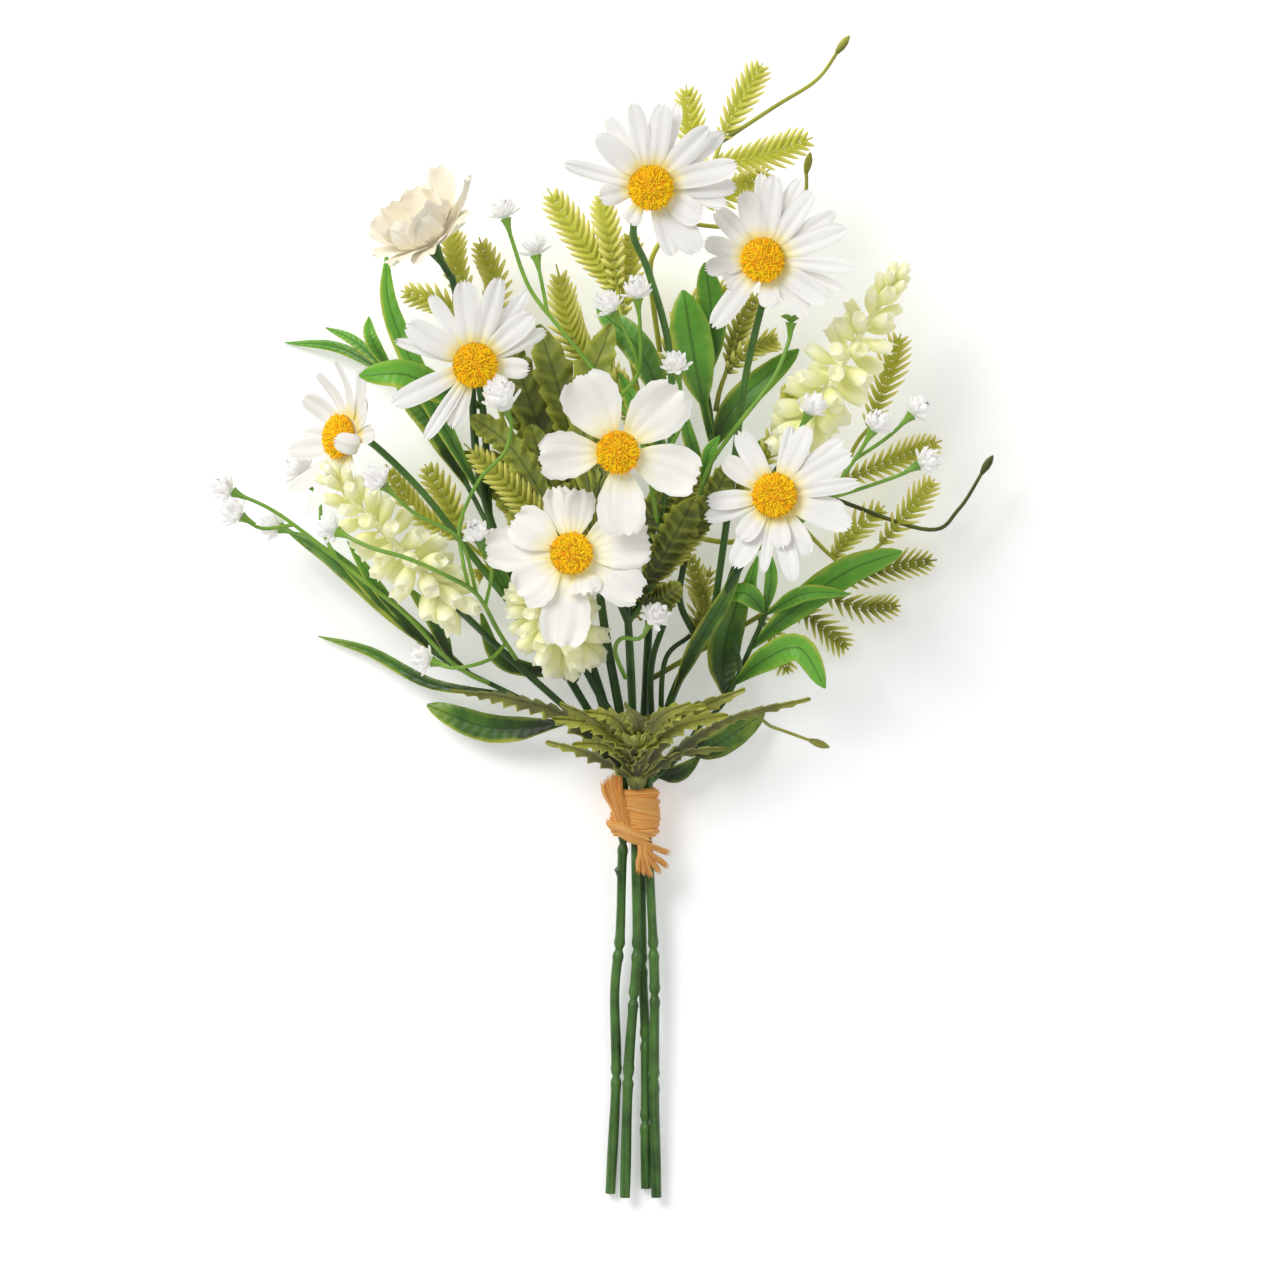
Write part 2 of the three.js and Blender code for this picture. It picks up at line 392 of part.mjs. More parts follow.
const TWIG_RIGHT = {
	on: 'right',
	trunk: [ [ 34.5, 80, 41 ], [ 46.5, 85.5, 43 ], [ 57, 94.5, 41 ], [ 66, 107, 42 ], [ 71, 115, 44.5 ] ],
	sides: [
		[ [ 66, 106, 41 ], [ 76, 113.5, 36 ], [ 83, 120, 36 ] ],
		[ [ 57, 94.5, 41 ], [ 67.5, 97.8, 38 ], [ 79.5, 102, 36 ], [ 85, 105, 36 ] ],
		[ [ 49, 87, 42.5 ], [ 47, 103.5, 49 ], [ 49.5, 116, 52 ], [ 51.5, 119.5, 53 ] ],
	],
	heads: [ 'head_15', 'head_16', 'head_17', 'head_14' ],
};
const TWIG_UP = {
	on: 'top',
	trunk: [
		[ 8.5, 88.5, 35 ], [ 1.5, 112.5, 46 ], [ - 10.5, 130.5, 48 ], [ - 22.5, 145.5, 47 ], [ - 31.5, 157.5, 46 ],
		[ - 36.9, 172.5, 46 ], [ - 38.5, 178, 46 ],
	],
	sides: [
		[ [ - 26, 150, 46.5 ], [ - 28, 160, 47 ], [ - 29.5, 167, 46 ] ],
		[ [ - 6, 124, 47.5 ], [ 1, 132, 52 ], [ - 3, 144, 55 ], [ - 6.5, 149.5, 56 ] ],
		[ [ - 6, 124, 47.5 ], [ 1, 132, 52 ], [ 1.5, 145, 55 ], [ 0.8, 153.5, 57 ] ],
		[ [ 5, 100.5, 41.5 ], [ 13.5, 116, 47 ], [ 13.4, 128, 52 ], [ 12.5, 132, 54 ] ],
	],
	heads: [ 'head_11', 'head_12', 'head_13', 'head_18', 'head_19' ],
};
const TWIG_MID = {
	on: 'upright',
	trunk: [
		[ 19, 92, 26.5 ], [ 22, 104, 37 ], [ 31, 117, 44 ], [ 41, 130, 47 ], [ 46, 142, 47 ],
		[ 46.5, 147, 47 ],
	],
	sides: [],
	heads: [],
};

// Spikes of bells: base and tip of the axis, and the greatest reach of the bells from it

const BELLS_LEFT = { base: [ - 54, 63, 40 ], tip: [ - 90, 100.5, 52 ], reach: 11 };
const BELLS_LOW = { base: [ - 20, 52.5, 26 ], tip: [ - 30, 66, 44 ], reach: 14 };
const BELLS_RIGHT = { base: [ 48, 112.5, 38 ], tip: [ 78, 161, 42 ], reach: 11 };

// Raffia: wraps as [ place along the stems, width, turn in degrees, extra thickness ]

const RAFFIA_WRAPS = [ [ 4, 5.6, 7, 0 ], [ - 0.8, 5.6, - 11, 0.25 ], [ - 5.4, 5, 6, 0.05 ] ];
const RAFFIA_ENDS = [
	[ [ - 4.3, - 1, 14 ], [ - 6, 6, 15 ], [ - 9, 12.5, 15 ] ],
	[ [ - 2.4, 0, 14.7 ], [ - 3.6, 6, 15.6 ], [ - 5.4, 13, 16 ] ],
	[ [ 2.6, - 5, 14.3 ], [ 5.6, - 12, 13.8 ], [ 10.8, - 20, 11.6 ] ],
	[ [ 0.8, - 5, 14.7 ], [ 2.8, - 12, 14 ], [ 5.6, - 19, 13 ] ],
];

// Solids and how they join

function solid( geometry ) {

	geometry.deleteAttribute( 'normal' );
	geometry.deleteAttribute( 'uv' );
	const merged = mergeVertices( geometry );
	const index = merged.index.array;
	const faces = [];
	for ( let i = 0; i < index.length; i += 3 ) {

		const [ a, b, c ] = index.subarray( i, i + 3 );
		if ( a !== b && b !== c && c !== a ) faces.push( a, b, c );

	}
	const vertProperties = merged.attributes.position.array;
	const triVerts = new Uint32Array( faces );
	return new wasm.Manifold( new wasm.Mesh( { numProp: 3, vertProperties, triVerts } ) );

}

function joined( solids ) {

	return solids.reduce( ( all, next ) => all.add( next ) );

}

function slab() {

	const box = new THREE.BoxGeometry( 900, 900, 40 );
	box.translate( 0, 0, - 20 );
	return solid( box );

}

function largest( body ) {

	return body.decompose().reduce( ( a, b ) => ( b.volume() > a.volume() ? b : a ) );

}

// Curves and frames

const vector = ( place ) => new THREE.Vector3( ...place );

// A smooth curve, with the number of straight lengths that its rod is made of.
function smooth( points, lengths ) {

	const curve = new THREE.CatmullRomCurve3( points, false, 'catmullrom', 0.5 );
	curve.lengths = lengths;
	return curve;

}

function curveOf( places, lengths = 4 ) {

	return smooth( places.map( vector ), lengths );

}

// The place on the straight lengths at a share of the curve.
function onLengths( curve, share ) {

	const { lengths } = curve;
	const step = Math.min( Math.floor( share * lengths ), lengths - 1 );
	const from = curve.getPoint( step / lengths );
	return from.lerp( curve.getPoint( ( step + 1 ) / lengths ), share * lengths - step );

}

function nearestShare( curve, place ) {

	const shares = Array.from( { length: 117 }, ( _, i ) => i / 120 );
	const far = ( share ) => onLengths( curve, share ).distanceTo( place );
	return shares.reduce( ( a, b ) => ( far( b ) < far( a ) ? b : a ) );

}

// A branch starts on the middle line of what carries it, so its root is sunk in.
function branchOf( parent, places, lengths = 4 ) {

	const points = places.map( vector );
	points[ 0 ] = onLengths( parent, nearestShare( parent, points[ 0 ] ) );
	return smooth( points, lengths );

}

// A spray of its own starts just clear of the surface of the stem that carries it.
function besideOf( parent, parentRadius, ownRadius, places, lengths ) {

	const points = places.map( vector );
	const share = nearestShare( parent, points[ 0 ] );
	const foot = onLengths( parent, share );
	const along = parent.getTangent( share );
	const leave = points[ 1 ].clone().sub( foot ).normalize();
	const away = leave.clone().addScaledVector( along, - leave.dot( along ) ).normalize();
	const reach = parentRadius + GAP + ownRadius * Math.abs( leave.dot( along ) ) + 0.1;
	points[ 0 ] = foot.addScaledVector( away, reach );
	return smooth( points, lengths );

}

function frameAt( curve, share, facing ) {

	const at = curve.getPoint( share );
	const along = curve.getTangent( share );
	const out = facing.clone().addScaledVector( along, - facing.dot( along ) ).normalize();
	const across = out.clone().cross( along );
	return { at, along, out, across };

}

// A closed body along a curve: a ball whose rings move to the stations
// [ share of the curve, half width, half thickness, how far its edges run ahead of its middle ].
// The first and last ring shrink to a point.
function sweep( curve, stations, sides, facing, cup = 0, rolls = false ) {

	const ball = new THREE.SphereGeometry( 1, sides, stations.length - 1 );
	const places = ball.attributes.position;
	const frames = [];
	let towards = facing;
	for ( const [ share ] of stations ) {

		const frame = frameAt( curve, share, towards );
		frames.push( frame );
		if ( rolls ) towards = frame.out;

	}
	for ( let i = 0; i < places.count; i ++ ) {

		const ring = Math.floor( i / ( sides + 1 ) );
		const angle = 2 * Math.PI * ( ( i % ( sides + 1 ) ) % sides ) / sides;
		const [ , halfWidth, halfThickness, ahead = 0 ] = stations[ ring ];
		const side = - Math.cos( angle );
		const lift = Math.sin( angle ) * halfThickness + cup * halfWidth * side * side;
		const { at, along, out, across } = frames[ ring ];
		const point = at.clone().addScaledVector( across, side * halfWidth ).addScaledVector( out, lift );
		point.addScaledVector( along, ahead * side * side );
		places.setXYZ( i, point.x, point.y, point.z );

	}
	return solid( ball );

}

// A round rod that tapers from one radius to another, with flat ends.
function rod( curve, startRadius, endRadius, sides ) {

	const stations = [ [ 0, 0, 0 ] ];
	for ( let i = 0; i <= curve.lengths; i ++ ) {

		const radius = THREE.MathUtils.lerp( startRadius, endRadius, i / curve.lengths );
		stations.push( [ i / curve.lengths, radius, radius ] );

	}
	stations.push( [ 1, 0, 0 ] );
	return sweep( curve, stations, sides, new THREE.Vector3( 0.3, 0.2, 1 ), 0, true );

}

// A smooth leaf: a lens in section, widest before the middle, pointed at both ends.
function leaf( curve, halfWidth, facing = new THREE.Vector3( 0, 0, 1 ) ) {

	const thick = BLADE_THICKNESS / 2;
	const stations = [
		[ 0, 0, 0 ], [ 0.34, halfWidth, 1.4 * thick ], [ 0.7, 0.8 * halfWidth, thick ], [ 1, 0, 0 ],
	];
	return sweep( curve, stations, 4, facing, 0.12 );

}

// A comb of leaflets that lean forward in pairs from a narrow rib.
function frond( curve, halfWidth, pairs = 6 ) {

	const length = curve.getLength();
	const thick = BLADE_THICKNESS / 2;
	const first = 0.1;
	const step = ( 0.93 - first ) / pairs;
	const stations = [ [ 0, 0, 0 ] ];
	for ( let i = 0; i < pairs; i ++ ) {

		const root = first + i * step;
		const middle = root + 0.45 * step;
		const reach = halfWidth * Math.sin( Math.PI * ( 0.2 + 0.68 * i / ( pairs - 1 ) ) );
		const tip = Math.min( root + 0.85 * reach / length, 0.99 );
		stations.push( [ root, 0.65, thick ], [ middle, reach, 1.2 * thick, ( tip - middle ) * length ] );

	}
	stations.push( [ 1, 0, 0 ] );
	return sweep( curve, stations, 4, new THREE.Vector3( 0, 0, 1 ), - 0.14 );

}

// A broad leaf whose edges have teeth that point forward.
function sawLeaf( curve, halfWidth, teeth = 4 ) {

	const thick = BLADE_THICKNESS / 2;
	const stations = [ [ 0, 0, 0 ] ];
	for ( let i = 0; i < teeth; i ++ ) {

		const from = 0.08 + 0.88 * i / teeth;
		const to = from + 0.88 / teeth;
		const waist = halfWidth * Math.sin( Math.PI * Math.pow( from, 0.85 ) ) * 0.8 + 0.5;
		const wide = Math.max( halfWidth * Math.sin( Math.PI * Math.pow( to, 0.85 ) ) + 0.3, 0.8 );
		stations.push( [ from, waist, thick ], [ to - 0.04, wide, 1.2 * thick, 0.8 ] );

	}
	stations.push( [ 1, 0, 0 ] );
	return sweep( curve, stations, 4, new THREE.Vector3( 0, 0, 1 ), - 0.12 );

}

// Blooms

function bloomAxes( bloom ) {

	const face = vector( bloom.face ).normalize();
	const right = new THREE.Vector3( 1, 0, 0 ).addScaledVector( face, - face.x ).normalize();
	const up = face.clone().cross( right );
	return new THREE.Matrix4().makeBasis( right, up, face ).setPosition( vector( bloom.at ) );

}

function under( bloom, depth ) {

	const place = vector( bloom.at ).addScaledVector( vector( bloom.face ).normalize(), - depth );
	return place.toArray();

}

function turned( profile, sides ) {

	const outline = profile.map( ( [ x, y ] ) => new THREE.Vector2( x, y ) );
	return new THREE.LatheGeometry( outline, sides ).rotateX( Math.PI / 2 );

}

function petal( axes, [ degrees, length, halfWidth, lift, layer ], root, bend, stations, sides, cup ) {

	const direction = THREE.MathUtils.degToRad( degrees );
	const height = layer ? 0.12 : - 0.72;
	const line = [ 0, 0.45, 1 ].map( ( share ) => {

		const angle = THREE.MathUtils.degToRad( lift * ( 0.55 + 0.45 * share ) );
		const run = ( length - bend ) * share;
		return [ bend + run * Math.cos( angle ), height + run * Math.sin( angle ) ];

	} );
	const points = [ [ root, height ], ...line ].map( ( [ reach, z ] ) => new THREE.Vector3(
		reach * Math.cos( direction ), reach * Math.sin( direction ), z ).applyMatrix4( axes ) );
	const curve = new THREE.CatmullRomCurve3( points, false, 'catmullrom', 0.5 );
	const inwards = new THREE.Vector3( - Math.cos( direction ), - Math.sin( direction ), 0 );
	const facing = lift > 60 ? inwards : new THREE.Vector3( 0, 0, 1 );
	facing.transformDirection( axes );
	const thickness = BLADE_THICKNESS / 2;
	const scaled = stations.map( ( [ share, wide, thick ] ) => [ share, wide * halfWidth, thick * thickness ] );
	return sweep( curve, scaled, sides, facing, cup );

}

const DAISY_PETAL = [ [ 0, 0, 0 ], [ 0.56, 1, 1.2 ], [ 0.93, 0.72, 1 ], [ 1, 0, 0 ] ];
const BROAD_PETAL = [ [ 0, 0, 0 ], [ 0.46, 0.85, 1.2 ], [ 0.76, 1, 1.1 ], [ 0.96, 0.6, 1 ], [ 1, 0, 0 ] ];

function ringCore( axes, radius ) {

	const { above, below } = RING_CORE;
	const core = new THREE.CylinderGeometry( radius, 0.85 * radius, above + below, 8 );
	core.rotateX( Math.PI / 2 ).translate( 0, 0, ( above - below ) / 2 );
	return solid( core.applyMatrix4( axes ) );

}

function daisyRing( bloom ) {

	const axes = bloomAxes( bloom );
	const petals = bloom.petals.map( ( row ) => petal( axes, row, 2.5, 8.4, DAISY_PETAL, 4, 0.1 ) );
	return joined( [ ringCore( axes, RING_CORE.radius ), ...petals ] );

}

function cosmosRing( bloom ) {

	const axes = bloomAxes( bloom );
	const petals = bloom.petals.map( ( row ) => petal( axes, row, 2, 7.6, BROAD_PETAL, 4, 0.12 ) );
	return joined( [ ringCore( axes, RING_CORE.radius ), ...petals ] );

}

function creamCup( bloom ) {

	const axes = bloomAxes( bloom );
	const petals = bloom.petals.map( ( row ) => petal( axes, row, 0.8, 3.4, BROAD_PETAL, 4, 0.2 ) );
	return joined( [ ringCore( axes, 2.8 ), ...petals ] );

}

function disc( bloom, { radius, height } ) {

	const base = RING_CORE.above + GAP + 0.15;
	const profile = [
		[ 0, base ], [ radius, base + 0.2 * height ], [ 0.76 * radius, base + 0.78 * height ],
		[ 0, base + height ],
	];
	return solid( turned( profile, 10 ).applyMatrix4( bloomAxes( bloom ) ) );

}

function calyx( bloom, { length, top } ) {

	const start = RING_CORE.below + GAP;
	const line = curveOf( [ under( bloom, start + length ), under( bloom, start ) ] );
	const stations = [ [ 0, 0, 0 ], [ 0.55, 0.6 * top, 0.6 * top ], [ 1, top, top ], [ 1, 0, 0 ] ];
	return sweep( line, stations, 6, new THREE.Vector3( 0, 1, 0.3 ), 0, true );

}

// The route of a stem that ends behind its bloom.
function towards( places, bloom, length ) {

	const start = RING_CORE.below + GAP;
	return [ ...places, under( bloom, start + length + 2 ), under( bloom, start + 1 ) ];

}

// Spikes of bells and spiky heads

// Where the stem of a spike of bells ends, just short of the spike.
function behind( { base, tip } ) {

	const along = vector( tip ).sub( vector( base ) ).normalize();
	return vector( base ).addScaledVector( along, - GAP - 0.7 ).toArray();

}

function bellSpike( { base, tip, reach } ) {

	const axis = curveOf( [ base, tip ], 2 );
	const along = axis.getTangent( 0.5 );
	const side = new THREE.Vector3( 0, 0, 1 ).cross( along ).normalize();
	const up = along.clone().cross( side );
	const solids = [ rod( axis, 2.4, 1.2, 6 ) ];
	const golden = Math.PI * ( 3 - Math.sqrt( 5 ) );
	for ( let i = 0; i < BELL.count; i ++ ) {

		const share = i / ( BELL.count - 1 );
		const size = THREE.MathUtils.lerp( 1, 0.55, share * share );
		const lean = THREE.MathUtils.degToRad( THREE.MathUtils.lerp( 4, 68, Math.pow( share, 1.6 ) ) );
		const turn = i * golden;
		const round = side.clone().multiplyScalar( Math.cos( turn ) ).addScaledVector( up, Math.sin( turn ) );
		const out = round.clone().multiplyScalar( Math.cos( lean ) ).addScaledVector( along, Math.sin( lean ) );
		const root = axis.getPoint( 0.07 + 0.89 * share ).addScaledVector( round, 0.8 );
		const long = ( reach - 0.8 ) * THREE.MathUtils.lerp( 1, 0.66, share * share );
		const end = root.clone().addScaledVector( out, long );
		const line = new THREE.LineCurve3( root, end );
		const wide = BELL.halfWidth * size;
		const stations = [ [ 0, 0, 0 ], [ 0.6, wide, wide ], [ 1, 0.9 * wide, 0.9 * wide ], [ 1, 0, 0 ] ];
		solids.push( sweep( line, stations, 4, along, 0, true ) );

	}
	return joined( solids );

}

// A ball whose twelve corners are drawn out to points, seated just beyond the end of its twig.
function spikyHead( curve, { radius, spike } ) {

	const along = curve.getTangent( 1 );
	const centre = curve.getPoint( 1 ).addScaledVector( along, 0.95 * radius + GAP );
	const corners = new THREE.IcosahedronGeometry( 1, 0 ).attributes.position;
	const ball = new THREE.IcosahedronGeometry( 1, 1 );
	const places = ball.attributes.position;
	const corner = new THREE.Vector3( 1, 1, 1 ).normalize();
	const turn = new THREE.Quaternion().setFromUnitVectors( corner, along.negate() );
	for ( let i = 0; i < places.count; i ++ ) {

		const place = new THREE.Vector3().fromBufferAttribute( places, i ).normalize();
		let isCorner = false;
		for ( let j = 0; j < corners.count; j ++ ) {

			const spot = new THREE.Vector3().fromBufferAttribute( corners, j ).normalize();
			isCorner = isCorner || spot.dot( place ) > 0.999;

		}
		place.multiplyScalar( isCorner ? spike : radius ).applyQuaternion( turn ).add( centre );
		places.setXYZ( i, place.x, place.y, place.z );

	}
	return solid( ball );

}

// Raffia wraps round the four stems, with their loose ends

function raffia() {

	const solids = RAFFIA_WRAPS.map( ( [ place, width, turn, extra ] ) => {

		const wall = TIE.thickness + extra;
		const ring = new THREE.Shape().absellipse( 0, 0, TIE.halfWidth + wall, TIE.halfHeight + wall );
		ring.holes.push( new THREE.Path().absellipse( 0, 0, TIE.halfWidth, TIE.halfHeight ) );
		const band = new THREE.ExtrudeGeometry( ring, { depth: width, bevelEnabled: false, curveSegments: 5 } );
		band.translate( 0, 0, - width / 2 );
		band.rotateX( Math.PI / 2 );
		band.rotateZ( THREE.MathUtils.degToRad( turn ) );
		band.translate( 0, place, TIE.middle );
		return solid( band );

	} );
	for ( const route of RAFFIA_ENDS ) {

		const stations = [ [ 0, 0, 0 ], [ 0.3, 1.5, 0.5 ], [ 0.9, 1.5, 0.45 ], [ 1, 0, 0 ] ];
		solids.push( sweep( curveOf( route ), stations, 4, new THREE.Vector3( 0, 0, 1 ) ) );

	}
	return joined( solids );

}

// Assembly

const CURVES = {};
CURVES.left = curveOf( towards( STEM_LEFT, DAISY_LEFT, CALYX.length ), 13 );
CURVES.front = curveOf( towards( STEM_FRONT, COSMOS_UPPER, CALYX.length ), 12 );
CURVES.back = curveOf( STEM_BACK, 9 );
CURVES.right = curveOf( towards( STEM_RIGHT, DAISY_RIGHT, CALYX.length ), 13 );
CURVES.farLeft = branchOf( CURVES.left, towards( BRANCH_FAR_LEFT, DAISY_FAR_LEFT, CALYX.length ), 5 );
CURVES.cream = branchOf( CURVES.left, towards( BRANCH_CREAM, CREAM_BLOOM, CREAM_CALYX.length ), 4 );
CURVES.bellsLeft = branchOf( CURVES.left, [ ...BRANCH_BELLS_LEFT, behind( BELLS_LEFT ) ], 4 );
CURVES.leaves = branchOf( CURVES.left, BRANCH_LEAVES_LEFT, 4 );
CURVES.thin = branchOf( CURVES.left, BRANCH_THIN_LEFT, 3 );
CURVES.lower = branchOf( CURVES.front, towards( BRANCH_COSMOS_LOWER, COSMOS_LOWER, CALYX.length ), 4 );
CURVES.top = branchOf( CURVES.front, towards( BRANCH_DAISY_TOP, DAISY_TOP, CALYX.length ), 8 );
CURVES.bellsLow = branchOf( CURVES.front, [ ...BRANCH_BELLS_LOW, behind( BELLS_LOW ) ], 3 );
CURVES.upperRight = branchOf(
	CURVES.right, towards( BRANCH_UPPER_RIGHT, DAISY_UPPER_RIGHT, CALYX.length ), 6 );
CURVES.bellsRight = branchOf( CURVES.right, [ ...BRANCH_BELLS_RIGHT, behind( BELLS_RIGHT ) ], 4 );
CURVES.upright = branchOf( CURVES.right, BRANCH_UPRIGHT, 6 );
CURVES.leavesRight = branchOf( CURVES.right, BRANCH_LEAVES_RIGHT, 5 );

const pieces = [];

function keep( name, label, solids ) {

	pieces.push( { name, label, solids } );

}

function leavesOn( parent, rows ) {

	return rows.map( ( { route, half } ) => leaf( branchOf( parent, route ), half ) );

}

function sawLeavesOn( key ) {

	const rows = SAW_LEAVES.filter( ( row ) => row.on === key );
	return rows.map( ( { route, half } ) => sawLeaf( branchOf( CURVES[ key ], route ), half ) );

}

keep( 'stem_left', 'stem', [
	rod( CURVES.left, STEM_RADIUS, BRANCH_RADIUS, 6 ),
	rod( CURVES.farLeft, BRANCH_RADIUS, BRANCH_RADIUS, 5 ),
	rod( CURVES.cream, BRANCH_RADIUS, BRANCH_RADIUS, 5 ),
	rod( CURVES.bellsLeft, BRANCH_RADIUS, BRANCH_RADIUS, 5 ),
	rod( CURVES.leaves, PETIOLE_RADIUS, PETIOLE_RADIUS, 4 ),
	rod( CURVES.thin, PETIOLE_RADIUS, PETIOLE_RADIUS, 4 ),
	calyx( DAISY_LEFT, CALYX ),
	calyx( DAISY_FAR_LEFT, CALYX ),
	calyx( CREAM_BLOOM, CREAM_CALYX ),
	...leavesOn( CURVES.left, LEAVES_LEFT.main ),
	...leavesOn( CURVES.cream, LEAVES_LEFT.cream ),
	...leavesOn( CURVES.thin, LEAVES_LEFT.thin ),
	...leavesOn( CURVES.leaves, LEAVES_LEFT.leaves ),
] );
keep( 'stem_front', 'stem', [
	rod( CURVES.front, STEM_RADIUS, BRANCH_RADIUS, 6 ),
	rod( CURVES.lower, BRANCH_RADIUS, BRANCH_RADIUS, 5 ),
	rod( CURVES.top, BRANCH_RADIUS, BRANCH_RADIUS, 5 ),
	rod( CURVES.bellsLow, BRANCH_RADIUS, BRANCH_RADIUS, 5 ),
	calyx( COSMOS_UPPER, CALYX ),
	calyx( COSMOS_LOWER, CALYX ),
	calyx( DAISY_TOP, CALYX ),
	...leavesOn( CURVES.top, LEAVES_FRONT.top ),
	...sawLeavesOn( 'lower' ),
	...sawLeavesOn( 'front' ),
] );
keep( 'stem_back', 'stem', [ rod( CURVES.back, STEM_RADIUS, BRANCH_RADIUS, 6 ) ] );
keep( 'stem_right', 'stem', [
	rod( CURVES.right, STEM_RADIUS, BRANCH_RADIUS, 6 ),
	rod( CURVES.upperRight, BRANCH_RADIUS, BRANCH_RADIUS, 5 ),
	rod( CURVES.bellsRight, BRANCH_RADIUS, BRANCH_RADIUS, 5 ),
	rod( CURVES.upright, BRANCH_RADIUS, PETIOLE_RADIUS, 4 ),
	rod( CURVES.leavesRight, PETIOLE_RADIUS, PETIOLE_RADIUS, 4 ),
	calyx( DAISY_RIGHT, CALYX ),
	calyx( DAISY_UPPER_RIGHT, CALYX ),
	...leavesOn( CURVES.upright, LEAVES_RIGHT.upright ),
	...leavesOn( CURVES.leavesRight, LEAVES_RIGHT.leaves ),
] );

for ( const [ name, bloom ] of Object.entries( {
	daisy_top: DAISY_TOP,
	daisy_upper_right: DAISY_UPPER_RIGHT,
	daisy_left: DAISY_LEFT,
	daisy_far_left: DAISY_FAR_LEFT,
	daisy_right: DAISY_RIGHT,
} ) ) {

	keep( `${ name }_petals`, 'daisy', [ daisyRing( bloom ) ] );
	keep( `${ name }_centre`, 'disc', [ disc( bloom, DAISY_DISC ) ] );

}
for ( const [ name, bloom ] of Object.entries( {
	cosmos_upper: COSMOS_UPPER,
	cosmos_lower: COSMOS_LOWER,
} ) ) {

	keep( `${ name }_petals`, 'cosmos', [ cosmosRing( bloom ) ] );
	keep( `${ name }_centre`, 'disc', [ disc( bloom, COSMOS_DISC ) ] );

}
keep( 'cream_bloom_petals', 'cream', [ creamCup( CREAM_BLOOM ) ] );
keep( 'cream_bloom_centre', 'disc', [ disc( CREAM_BLOOM, CREAM_DISC ) ] );

keep( 'bells_left', 'bells', [ bellSpike( BELLS_LEFT ) ] );
keep( 'bells_low', 'bells', [ bellSpike( BELLS_LOW ) ] );
keep( 'bells_right', 'bells', [ bellSpike( BELLS_RIGHT ) ] );

function fernSpray( name, spray, parentRadius ) {

	const lengths = spray.stem.length;
	const stem = spray.on
		? besideOf( CURVES[ spray.on ], parentRadius, FERN_STEM_RADIUS, spray.stem, lengths )
		: curveOf( spray.stem, lengths );
	const solids = [ rod( stem, FERN_STEM_RADIUS, 0.7 * FERN_STEM_RADIUS, 4 ) ];
	for ( const { route, half } of spray.fronds ) solids.push( frond( branchOf( stem, route ), half ) );
	if ( spray.side ) {

		const side = branchOf( stem, spray.side, 3 );
		solids.push( rod( side, 0.8 * FERN_STEM_RADIUS, 0.7 * FERN_STEM_RADIUS, 4 ) );
		for ( const { route, half } of spray.sideFronds ) solids.push( frond( branchOf( side, route ), half ) );

	}
	for ( const route of spray.tendrils ?? [] ) {

		const tendril = branchOf( stem, route );
		solids.push( rod( tendril, 0.6, 0.6, 3 ) );
		solids.push( bud( tendril ) );

	}
	keep( name, 'fern', solids );

}

// A slim bud that carries on from the end of a tendril.
function bud( curve ) {

	const along = curve.getTangent( 1 );
	const start = curve.getPoint( 1 ).addScaledVector( along, - 3 );
	const line = new THREE.LineCurve3( start, start.clone().addScaledVector( along, 8 ) );
	const stations = [ [ 0, 0, 0 ], [ 0.55, 1.4, 1.4 ], [ 1, 0, 0 ] ];
	return sweep( line, stations, 4, new THREE.Vector3( 0.3, 0.2, 1 ), 0, true );

}

fernSpray( 'fern_top', FERN_TOP, STEM_RADIUS );
fernSpray( 'fern_upper_left', FERN_UPPER_LEFT, 1 );
fernSpray( 'fern_left', FERN_LEFT, 1 );
fernSpray( 'fern_right_high', FERN_RIGHT_HIGH, 1 );
fernSpray( 'fern_right_low', FERN_RIGHT_LOW, 1.1 );
fernSpray( 'fern_mid', FERN_MID, PETIOLE_RADIUS );

function leafWhorl() {

	const [ wide, long, high ] = WHORL_HUB.half;
	const hub = new THREE.SphereGeometry( 1, 6, 4 ).scale( wide, long, high ).translate( ...WHORL_HUB.at );
	const tendril = curveOf( WHORL_TENDRIL, 5 );
	const blades = WHORL_LEAVES.map( ( { route, half } ) => leaf( curveOf( route ), half ) );
	return [ solid( hub ), ...blades, rod( tendril, 0.6, 0.6, 3 ), bud( tendril ) ];

}

keep( 'leaf_whorl', 'olive', leafWhorl() );

function twigSpray( name, spray, parentRadius ) {

	const trunk = besideOf( CURVES[ spray.on ], parentRadius, TWIG_RADIUS, spray.trunk, spray.trunk.length );
	const solids = [ rod( trunk, TWIG_RADIUS, 0.8 * TWIG_RADIUS, 4 ) ];
	const ends = [ trunk ];
	for ( const route of spray.sides ) {

		const side = branchOf( trunk, route, route.length );
		solids.push( rod( side, 0.8 * TWIG_RADIUS, 0.8 * TWIG_RADIUS, 4 ) );
		ends.push( side );

	}
	keep( name, 'twig', solids );
	spray.heads.forEach( ( head, i ) => {

		keep( head, 'head', [ spikyHead( ends[ i ], head === 'head_09' ? BALL_HEAD : HEAD ) ] );

	} );

}

twigSpray( 'twig_left', TWIG_LEFT, BRANCH_RADIUS );
twigSpray( 'twig_far_left', TWIG_FAR_LEFT, PETIOLE_RADIUS );
twigSpray( 'twig_low', TWIG_LOW, STEM_RADIUS );
twigSpray( 'twig_right', TWIG_RIGHT, BRANCH_RADIUS );
twigSpray( 'twig_up', TWIG_UP, BRANCH_RADIUS );
twigSpray( 'twig_mid', TWIG_MID, PETIOLE_RADIUS );

keep( 'raffia_tie', 'raffia', [ raffia() ] );

